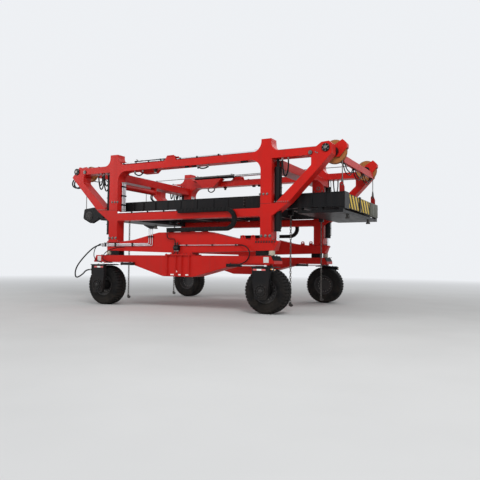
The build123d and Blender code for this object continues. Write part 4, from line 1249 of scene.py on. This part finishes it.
@dataclass
class SaddleFittings(BeamFittings):
    """Foot bolts, pipe clamps, valve fittings and hoses on one saddle beam."""

    outer_y: float = -2.390
    pipe_y: float = -2.413
    valve_y: float = -2.46
    port_y: float = -2.455
    nose_x: float = 3.05
    rod_eye: Pair = (-2.62, 1.318)
    ridge: Rows = ((0.0, 0.084), (0.012, 0.090), (0.020, 0.090), (0.030, 0.084))
    front_hose: tuple[Point, ...] = (
        (1.915, -2.413, 1.900), (2.060, -2.430, 1.900), (2.270, -2.520, 1.835), (2.385, -2.590, 1.700),
        (2.380, -2.600, 1.560), (2.280, -2.600, 1.430), (2.160, -2.600, 1.380), (2.120, -2.612, 1.350),
    )
    rear_hose: tuple[Point, ...] = (
        (-2.20, -2.440, 1.850), (-2.45, -2.500, 1.835), (-2.78, -2.570, 1.740), (-2.97, -2.590, 1.560),
        (-2.93, -2.600, 1.420), (-2.60, -2.600, 1.335), (-2.30, -2.605, 1.325), (-2.14, -2.612, 1.345),
    )
    end_hose: tuple[Point, ...] = (
        (-3.150, -2.415, 1.960), (-3.260, -2.430, 1.955), (-3.360, -2.500, 1.840), (-3.380, -2.560, 1.660),
        (-3.330, -2.580, 1.480), (-3.200, -2.570, 1.390), (-3.02, -2.560, 1.352),
    )

    def build(self) -> None:
        """Build the fittings of one side."""
        self._bolts_and_clamps()
        self._valve()
        self._steering_hoses()
        self._spring_posts()

    def _bolts_and_clamps(self) -> None:
        """Add the bolts under each column foot, and clamps and unions on the saddle's pipes."""
        row = [(sign * (2.48 + 0.082 * k), self.outer_y, 1.982) for sign in SIGNS for k in range(8)]
        feet = [((sign * self.nose_x, -2.19, 2.075), UP, 0.054, 6, 0.006) for sign in SIGNS]
        self.piece("saddle_bolts", Finish.DARK_BOLT, bolts=[(row, OUT, 0.036, 0.026)], bolt_circle=feet)
        spans = [(-1.272, -1.080, 2.148, 2.192), (-3.04, -2.99, 1.866, 1.984)]
        spans += [(x, x + 0.054, 1.866, 1.984) for x in (-2.617, -1.917)]
        spans += [(x - 0.022, x + 0.022, 1.876, 1.924) for x in (0.17, 1.07, 1.85)]
        face = self.outer_y - 0.048
        clamps = [((a, face, low), (b, self.outer_y, high), 0.005) for a, b, low, high in spans]
        self.piece("saddle_clamps", Finish.PLASTIC, block=clamps)
        middles = [((a + b) / 2, face, (low + high) / 2) for a, b, low, high in spans]
        self.piece("saddle_clamp_screws", Finish.BOLT, bolts=[(middles, OUT, 0.013, 0.008)])
        y = self.pipe_y
        unions = [((x, y, 2.385), (x, y, 2.412), 0.016) for x in (-1.244, -1.176, -1.108)]
        unions += [((-3.085, y, z), (-3.118, y, z), 0.016) for z in (1.960, 1.925, 1.890)]
        unions.append(((1.885, y, 1.900), (1.922, y, 1.900), 0.016))
        self.piece("saddle_pipe_unions", Finish.SILVER, rod=unions)

    def _valve(self) -> None:
        """Dress the valve block in the middle of the saddle beam."""
        y, low_y, sides = self.valve_y, self.port_y, (-0.215, -0.135)
        coils = [((x, y, 1.90), (x, y, 1.975), 0.026, 20, 0.004) for x in sides]
        coils += [((x, y, 1.975), (x, y, 1.992), 0.014) for x in sides]
        plate = ((-0.262, -2.512, 1.792), (-0.088, -2.499, 1.853), 0.005)
        self.piece("valve_coils", Finish.DARK_BOLT, rod=coils, block=[plate])
        ports = [((x, low_y, 1.745), (x, low_y, 1.712), 0.015) for x in (-0.235, -0.175, -0.115)]
        ports.append(((-0.075, self.pipe_y, 1.900), (-0.045, self.pipe_y, 1.900), 0.016))
        self.piece("valve_ports", Finish.SILVER, rod=ports)
        lead = [(-0.215, y, 1.99), (-0.222, y, 2.06), (-0.30, y + 0.01, 2.10), (-0.45, y + 0.02, 2.08)]
        lead += [(-0.53, y + 0.02, 2.16), (-0.535, y + 0.02, 2.31)]
        tubes = [(lead, 0.014, 10, 3)]
        for x, middle, foot in ((-0.235, -0.237, -0.245), (-0.115, -0.112, -0.10)):
            drop = [(x, low_y, 1.72), (middle, low_y, 1.66), (foot, -2.50, 1.645)]
            tubes.append((drop, 0.012, 10, 2))
        self.piece("valve_hoses", Finish.HOSE, tube=tubes)

    def _steering_hoses(self) -> None:
        """Run the hoses from the saddle's pipes down to the steering cylinders."""
        routes = ((self.front_hose, 0.016), (self.rear_hose, 0.014), (self.end_hose, 0.013))
        self.piece("steering_hoses", Finish.HOSE, tube=[(route, radius, 12, 3) for route, radius in routes])
        y, z = self.rod_eye
        places = [sign * x for sign in SIGNS for x in (1.80, 2.12)]
        ports = [((x, y, z + 0.034), (x, y + 0.008, z + 0.067), 0.018) for x in places]
        collars = [
            ((sign * x, y, z), (sign, 0, 0), 0.019, outer, depth)
            for sign in SIGNS for x, outer, depth in ((2.13, 0.046, 0.024), (1.745, 0.045, 0.020))
        ]
        self.piece("steering_hose_ends", Finish.DARK_BOLT, rod=ports, ring=collars)

    def _spring_posts(self) -> None:
        """Put a ringed sleeve over each spring post, and plates on the rubber pads."""
        profile = [(0.0, 0.081)]
        for start in (0.010, 0.042, 0.074, 0.106):
            profile += [(start + along, radius) for along, radius in self.ridge]
        posts = [((sign * 2.93, -2.30, 1.592), UP, [*profile, (0.145, 0.081)]) for sign in SIGNS]
        self.piece("spring_sleeves", Finish.CREAM, turned=posts)
        plates = [
            ((sign * 2.465, -2.391, z), (sign * 2.787, -2.109, z + 0.008), 0.002)
            for sign in SIGNS for z in (1.612, 1.652, 1.692)
        ]
        self.piece("pad_plates", Finish.DARK_BOLT, block=plates)


@dataclass
class WalkingBeamFittings(BeamFittings):
    """Blank markers, reflectors, bolts and weld seams of one walking beam."""

    face: float = -2.537
    top_z: float = 1.590
    kingpin_x: float = 2.88
    marker_x: Rows = ((2.785, 2.945), (-3.225, -3.075))
    reflector_x: tuple[float, ...] = (-0.255, 0.033, 0.287)
    top_bolt_x: tuple[float, ...] = (-0.46, -0.30, -0.20, -0.02, 0.03, 0.18, 0.28, 0.41)
    low_seam: Rows = (
        (-3.37, 1.380), (-1.745, 1.380), (-1.745, 1.292), (-0.62, 0.968), (0.50, 0.968), (1.745, 1.292),
        (1.745, 1.380), (3.06, 1.380),
    )
    high_seam: Rows = ((-3.27, 1.578), (3.00, 1.578))
    ribs: tuple[float, ...] = (-0.441, -0.421, -0.122, -0.102, 0.086, 0.106, 0.359, 0.379)

    def build(self) -> None:
        """Build the fittings of one side."""
        y, z = self.face, self.top_z
        squares = [((a, y, 1.400), (b, y - 0.003, 1.560)) for a, b in self.marker_x]
        self.piece("blank_markers", Finish.WHITE, block=squares)
        bars = [((x - 0.060, y, 0.992), (x + 0.060, y - 0.006, 1.030), 0.002) for x in self.reflector_x]
        spot = ((-0.095, y, 1.107), OUT, (0.026, 0.005), (0.018, 0.008), 20)
        # Painted glow: the reflectors glow through the clear lens finish.
        self.piece("reflectors", Finish.CLEAR, block=bars, button=[spot])
        small = [(x, -2.566, 1.625) for x in self.top_bolt_x]
        pins = [(sign * self.kingpin_x, -2.42) for sign in SIGNS]
        large = [(x + dx, at, z) for x, _ in pins for dx in (-0.19, 0.19) for at in (-2.28, -2.50)]
        self.piece(
            "walking_beam_bolts", Finish.DARK_BOLT,
            bolts=[(small, UP, 0.030, 0.02), (large, UP, 0.036, 0.022)],
            button=[((*pin, z), UP, (0.075, 0.016), (0.068, 0.020), 32) for pin in pins],
            rod=[((*pin, 1.61), (*pin, 1.634), 0.010) for pin in pins],
        )
        y = -self.side.value * self.face
        welds = [([(x, y, up) for x, up in seam], 0.0045, 6) for seam in (self.low_seam, self.high_seam)]
        welds += [([(x, y, 1.00), (x, y, 1.58)], 0.005, 6) for x in self.ribs]
        self.piece("walking_beam_welds", Finish.RED, as_drawn=True, tube=welds)


@dataclass
class LiftingFrameFittings(Fittings):
    """Striped panels, the grey box, beam flanges, anchors and blocks of the lifting frame."""

    body: str = "spreader"
    end_x: float = 4.840
    start_x: float = -3.720
    panel_z: Pair = (2.930, 3.330)
    beam_z: Pair = (2.945, 3.350)
    face_y: float = -1.903
    anchor: Point = (4.750, -1.695, 3.585)
    block_pin: Pair = (-4.381, 2.960)
    block_face: float = -1.758
    panel_y: Rows = ((-1.43, -0.40), (-0.23, 0.80))
    door_y: Rows = ((0.90, 1.32), (1.34, 1.76))
    stiffener_x: tuple[float, ...] = (-3.60, -3.20, -0.90, -0.40, 0.20, 0.80, 1.30, 2.40, 2.80)
    socket: Rows = ((0, 0.030), (0.03, 0.034), (0.10, 0.030), (0.19, 0.018), (0.20, 0.0135))
    boss: Rows = (
        (0, 0.165), (0.010, 0.165), (0.014, 0.155), (0.014, 0.115), (0.028, 0.105), (0.028, 0.050),
        (0.034, 0.045), (0.034, 0),
    )
    block_bolts: Rows = (
        (-4.20, 3.18), (-4.52, 3.12), (-4.56, 2.86), (-4.28, 2.76), (-3.98, 2.90), (-3.92, 3.14),
    )

    def build(self) -> None:
        """Build every fitting of the lifting frame."""
        self._end_panels()
        self._end_box()
        self._beams()
        self._rope_ends()

    def _end_panels(self) -> None:
        """Build the two striped panels in their rims."""
        x, (low, high) = self.end_x, self.panel_z
        panels, rims, screws = [], [], []
        for left, right in self.panel_y:
            panels.append(((x, left, low), (x + 0.026, right, high), 0.004))
            rims += [((x, left, z), (x + 0.030, right, z + 0.008), 0.002) for z in (low, high - 0.008)]
            rims += [((x, y, low), (x + 0.030, y + 0.008, high), 0.002) for y in (left, right - 0.008)]
            for y in (left + 0.05, right - 0.05):
                screws += [(x + 0.026, y, z) for z in (low + 0.035, high - 0.035)]
        self.piece("striped_panels", Finish.STRIPES, ["end_panels"], as_drawn=True, block=panels)
        self.piece(
            "panel_rims", Finish.DARK_BOLT, as_drawn=True, block=rims, bolts=[(screws, ALONG, 0.018, 0.010)]
        )

    def _end_box(self) -> None:
        """Build the grey box beside the panels, with its doors, handles and locks."""
        x = self.end_x
        doors = [((x + 0.050, left, 2.940), (x + 0.059, right, 3.290), 0.004) for left, right in self.door_y]
        box = [((x, 0.862, 2.902), (x + 0.052, 1.798, 3.328), 0.012), *doors]
        self.piece("end_box", Finish.GREY, as_drawn=True, block=box)
        trims = [
            ((x + 0.059, y, z - 0.03), (x + 0.059, y, z + 0.03), 0.007, 12, 0.001)
            for y in (0.93, 1.73) for z in (3.02, 3.20)
        ]
        trims += [((x + 0.056, y, 3.115), (x + 0.060, y, 3.115), 0.014, 20, 0.001) for y in (1.28, 1.38)]
        self.piece("end_box_trims", Finish.BOLT, as_drawn=True, rod=trims)

    def _beams(self) -> None:
        """Add flange lips and seams, and the bolts of the beams' joint."""
        y, (low, high) = self.face_y, self.beam_z
        lips = [
            ((self.start_x + 0.002, y - 0.019, z), (self.end_x - 0.002, y, z + 0.014), 0.002)
            for z in (low, high - 0.014)
        ]
        lips += [((x, y - 0.027, 2.960), (x + 0.010, y, 3.335), 0.002) for x in (1.838, 1.852)]
        for x in self.stiffener_x:
            lips.append(((x - 0.005, y - 0.017, 2.958), (x + 0.005, y, 3.337), 0.001))
        self.piece("beam_flanges", Finish.BLACK, block=lips)
        self.piece("beam_joint_bolts", Finish.BOLT, bolts=[
            ([(x, y - 0.015, z) for z in (3.01, 3.11, 3.20, 3.29)], (ahead, 0, 0), 0.014, 0.012)
            for x, ahead in ((1.838, -1), (1.862, 1))
        ])

    def _rope_ends(self) -> None:
        """Add rope sockets at the anchors, and the bolts and pins of the rope blocks."""
        x, y, z = self.anchor
        self.piece(
            "rope_sockets", Finish.CAST, turned=[(self.anchor, UP, self.socket, 20)],
            rod=[((x, y - 0.05, z - 0.025), (x, y + 0.005, z - 0.025), 0.022, 20)],
            ring=[((4.090, -1.765, 3.480), OUT, 0.030, 0.055, 0.010, 24)],
            bolts=[([(3.96, -1.765, 3.40), (4.20, -1.765, 3.40)], OUT, 0.03, 0.018)],
        )
        (x, z), y = self.block_pin, self.block_face
        self.piece(
            "rope_block_bosses", Finish.DARK_BOLT, turned=[((x, y, z), OUT, self.boss, 36)],
            bolt_circle=[
                ((x, y - 0.014, z), OUT, 0.136, 8, 0.022), ((x, y - 0.028, z), OUT, 0.078, 6, 0.018)
            ],
            bolts=[([(a, y, b) for a, b in self.block_bolts], OUT, 0.036, 0.024)],
            rod=[((a, -1.745, b), (a, -1.645, b), 0.014, 12, 0.0) for a, b in self.block_bolts],
        )


@dataclass
class SlingChains:
    """Four hanging chains of oval links, in place of the plain ones."""

    places: Rows = ((-2.9, -1.35), (-2.9, 1.35), (3.1, -1.35), (3.1, 1.35))
    top_z: float = 2.790
    foot_z: float = 0.240
    links: int = 36
    wire: float = 0.0095
    half_width: float = 0.0225

    def build(self) -> None:
        """Build every link of the four chains, and the eyes at their ends."""
        chains, eyes = Shape("sling_links"), Shape("hook_eyes")
        pitch = (self.top_z - self.foot_z) / self.links
        straight = pitch / 2 + self.wire - self.half_width
        outline = []
        for start, middle in ((0.0, straight), (math.pi, -straight)):
            for angle in (start + math.pi * k / 4 for k in range(5)):
                outline.append(Vector((math.cos(angle), 0, math.sin(angle))) * self.half_width)
                outline[-1].z += middle
        rings = []
        for k, point in enumerate(outline):
            ahead = (outline[(k + 1) % len(outline)] - outline[k - 1]).normalized()
            rings.append(around(point, Vector((ahead.z, 0, -ahead.x)), Vector((0, 1, 0)), self.wire, 6))
        for x, y in self.places:
            for link in range(self.links):
                centre = Vector((x, y, self.foot_z + (link + 0.5) * pitch))
                order = "yxz" if link % 2 else "xyz"
                chains.skin([[centre + getattr(point, order) for point in ring] for ring in rings], loop=True)
            eyes.ring((x, y - 0.012, self.foot_z - 0.012), (0, 1, 0), 0.017, 0.034, 0.024, 20)
            eyes.ring((x - 0.014, y, self.top_z), ALONG, 0.020, 0.042, 0.028, 20)
        chains.done("spreader", Finish.CHAIN, ["sling_chains"])
        eyes.done("spreader", Finish.CAST)


@dataclass
class RunningRopes:
    """Ropes of the four falls and at the crossheads, each a straight tube."""

    rope_y: float = 1.695
    radius: float = 0.013
    top_z: float = 4.475
    crosshead_z: float = 4.680

    def build(self) -> None:
        """Build each rope as a straight piece between its two ends."""
        for side in Side:
            y, name, z = side.value * self.rope_y, side.label, self.crosshead_z
            for end, x, top, foot, free in (
                ("right", 4.750, self.top_z, 3.640, 3.80), ("left", -4.580, self.top_z - 0.025, 2.960, 3.20)
            ):
                ends = ((x, y, top), (x, y, foot))
                self._rope(f"fall_{name}_{end}", *ends, "spreader", "hoist_ropes", top - free)
            ends = ((4.545, y, z), (2.240, y, z))
            self._rope(f"crosshead_rope_{name}", *ends, "hoist_rods", "crosshead_ropes", 1.90)

    def _rope(self, name: str, start: Point, end: Point, body: str, node: str, free: float) -> None:
        """Build one rope from the upper frame to a moving body.

        Args:
            name: The rope's name.
            start: Its end on the upper frame.
            end: Its end on the moving body.
            body: Not used.
            node: The node that it stands for.
            free: Not used.
        """
        run = Vector(end) - Vector(start)
        rope = Shape(name)
        rope.tube([Vector(start) + run * k / 16 for k in range(17)], self.radius, 12)
        piece = rope.done(None, Finish.ROPE, [node])
        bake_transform(piece)


# What Shape.button takes for the pin of a chain link.
LINK_PIN = ((0.017, 0.003), (0.012, 0.004), 14)


@dataclass
class ChainGuideBends:
    """The turn of each energy chain."""

    centre: Pair = (1.520, 2.6535)
    radii: Pair = (0.2215, 0.3415)
    y_range: Pair = (2.375, 2.475)
    links: int = 8
    relief: float = 0.006
    shares: Rows = ((0.0, 1), (0.10, 1), (0.14, 0), (0.50, 0), (0.86, 0), (0.90, 1))

    def build(self) -> None:
        """Build both turns."""
        (x, z), step = self.centre, math.pi / self.links
        sections = [(link + share, drawn) for link in range(self.links) for share, drawn in self.shares]
        for side in Side:
            bend = Shape(f"chain_bend_{side.label}")
            places = [*sections, (self.links, 1)]
            bend.skin([self._section(side, place * step, drawn * self.relief) for place, drawn in places])
            y = side.value * self.y_range[1]
            for link in range(self.links):
                angle, middle = (link + 0.5) * step, sum(self.radii) / 2
                at = (x + middle * math.sin(angle), y, z + middle * math.cos(angle))
                bend.button(at, (0, side.value, 0), *LINK_PIN)
            piece = bend.done(None, Finish.PLASTIC, ["chain_bends"])
            side.body
            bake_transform(piece)

    def _section(self, side: Side, angle: float, relief: float) -> list[Point]:
        """Place the corners of one rectangular section of a turn.

        Args:
            side: Side of the crane.
            angle: Angle about the turn's centre, from the top.
            relief: How far the section is drawn in between links.

        Returns:
            The four corners.
        """
        inner, outer = self.radii[0] + relief, self.radii[1] - relief
        low, high = self.y_range
        x, z = self.centre
        return [
            (x + radius * math.sin(angle), side.value * y, z + radius * math.cos(angle))
            for radius, y in ((inner, low), (outer, low), (outer, high - relief), (inner, high - relief))
        ]


@dataclass
class ChainGuideLinks(Fittings):
    """Raised link plates and pins along the straight runs of the energy chains."""

    bend_x: float = 1.52
    pitch: float = 0.12
    face_y: float = -2.475

    def build(self) -> None:
        """Build the plates of the upper run and of the two lower runs."""
        y = self.face_y - 0.004
        for name, body, side, count, low, high in (
            ("upper", "upper_frame", None, 13, 2.887, 2.981),
            ("near", Side.NEAR.body, Side.NEAR, 17, 2.326, 2.420),
            ("far", Side.FAR.body, Side.FAR, 17, 2.326, 2.420),
        ):
            self.body, self.side = body, side
            starts = [self.bend_x - self.pitch * (k + 1) for k in range(count)]
            ends = [(x + 0.026, x + self.pitch - 0.004) for x in starts]
            plates = [((a, self.face_y, low), (b, y, high), 0.003) for a, b in ends]
            pins = [(((a + b) / 2, y, (low + high) / 2), OUT, *LINK_PIN) for a, b in ends]
            self.piece(f"chain_plates_{name}", Finish.PLASTIC, block=plates, button=pins)


@dataclass
class Studio:
    """Pale floor and sky, soft lamps, and the photograph's camera."""

    eye: Point = (9.030, -15.751, 1.436)
    yaw: float = 0.486
    pitch: float = 0.040
    roll: float = 0.011
    focal_px: float = 530.218
    image_px: float = 480.0
    sensor: float = 36.0
    sky: Colour = (0.93, 0.95, 0.98)
    sky_strength: float = 0.92
    shade_strength: float = 0.50
    floor_half: float = 160.0
    floor_fade: Pair = (8.0, 34.0)
    lamps_aim: Point = (0.0, 0.0, 2.0)
    lamps: tuple[tuple[str, Point, float, float], ...] = (
        ("key_lamp", (11.0, -13.0, 14.0), 7.0, 1550.0), ("fill_lamp", (-14.0, -12.0, 9.0), 9.0, 800.0),
        ("back_lamp", (6.0, 16.0, 14.0), 9.0, 520.0),
    )

    def build(self) -> None:
        """Build the floor, the lamps, the world and the camera."""
        self._floor()
        self._world()
        for name, place, size, power in self.lamps:
            self._lamp(name, place, size, power)
        self._camera()
        bpy.context.scene.view_settings.view_transform = "Standard"

    def _stand(self, name: str, data: bpy.types.ID, place: Matrix | None = None) -> bpy.types.Object:
        """Put an object of the studio in the scene.

        Args:
            name: Its name.
            data: Its mesh, lamp or camera.
            place: Its place and turn.

        Returns:
            The object.
        """
        thing = bpy.data.objects.new(name, data)
        thing.matrix_world = place or Matrix.Identity(4)
        bpy.context.scene.collection.objects.link(thing)
        return thing

    def _floor(self) -> None:
        """Lay a wide floor that runs to the horizon."""
        mesh = bpy.data.meshes.new("studio_floor")
        grid = bmesh.new()
        bmesh.ops.create_grid(grid, x_segments=8, y_segments=8, size=self.floor_half)
        grid.to_mesh(mesh)
        grid.free()
        mesh.materials.append(new_material("studio_floor", self._floor_sockets))
        self._stand("studio_floor", mesh)

    def _floor_sockets(self, graph: Graph) -> dict:
        """Work out the inputs of the floor's shader, which fades into the sky with distance.

        Args:
            graph: Graph of the material.

        Returns:
            Values and sockets by the name of the input.
        """
        tone = graph.mix(graph.noise(0.6, 3.0), (0.60, 0.60, 0.59), (0.68, 0.68, 0.67))
        away = graph.add("VectorMath", {0: graph.place()}, operation="LENGTH").outputs["Value"]
        fade = graph.remap(away, *self.floor_fade)
        return {
            "Base Color": graph.mix(fade, tone, (0.0, 0.0, 0.0)),
            "Emission Color": self.sky,
            "Emission Strength": graph.times(fade, self.sky_strength),
            "Specular IOR Level": 0.0,
            "Roughness": 0.9,
        }

    def _world(self) -> None:
        """Light the scene evenly, with a pale sky for the camera."""
        world = bpy.data.worlds.new("studio_sky")
        bpy.context.scene.world = world
        world.use_nodes = True
        graph = Graph(world.node_tree)
        rays = graph.add("LightPath").outputs
        seen = graph.math("MAXIMUM", rays["Is Camera Ray"], rays["Is Glossy Ray"])
        seen = graph.math("MAXIMUM", seen, rays["Is Transmission Ray"])
        strength = graph.remap(seen, 0.0, 1.0, self.shade_strength, self.sky_strength)
        graph.feed(world.node_tree.nodes["Background"], {"Color": self.sky, "Strength": strength})

    def _lamp(self, name: str, place: Point, size: float, power: float) -> None:
        """Hang a soft square lamp that points at the crane.

        Args:
            name: The lamp's name.
            place: Where it hangs.
            size: Length of its sides.
            power: Its power in watts.
        """
        light = bpy.data.lights.new(name, "AREA")
        light.size = size
        light.energy = power
        turn = (Vector(self.lamps_aim) - Vector(place)).to_track_quat("-Z", "Y").to_matrix()
        self._stand(name, light, Matrix.Translation(place) @ turn.to_4x4())

    def _camera(self) -> None:
        """Stand the camera where the photograph was taken."""
        data = bpy.data.cameras.new("photo_camera")
        data.sensor_width = self.sensor
        data.lens = self.focal_px / self.image_px * self.sensor
        data.clip_end = 400.0
        place = Matrix.Translation(self.eye)
        for angle, axis in ((self.yaw, "Z"), (math.pi / 2 + self.pitch, "X"), (self.roll, "Z")):
            place @= Matrix.Rotation(angle, 4, axis)
        bpy.context.scene.camera = self._stand("photo_camera", data, place)


def main() -> None:
    """Load the crane's solids, dress them and add every piece."""
    logging.basicConfig(level=logging.INFO, format="%(name)s: %(message)s")
    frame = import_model()
    Studio().build()
    for side in Side:
        MotorHose(side).build()
    dress_solids(frame)
    for side in Side:
        for end in End:
            Wheel(side, end).build()
            SteeredFork(side, end).build()
    FrameFittings().build()
    for side in Side:
        SaddleFittings(side).build()
        WalkingBeamFittings(side).build()
    for kind in (LiftingFrameFittings, SlingChains, RunningRopes, ChainGuideBends, ChainGuideLinks):
        kind().build()


if __name__ == "__main__":
    main()
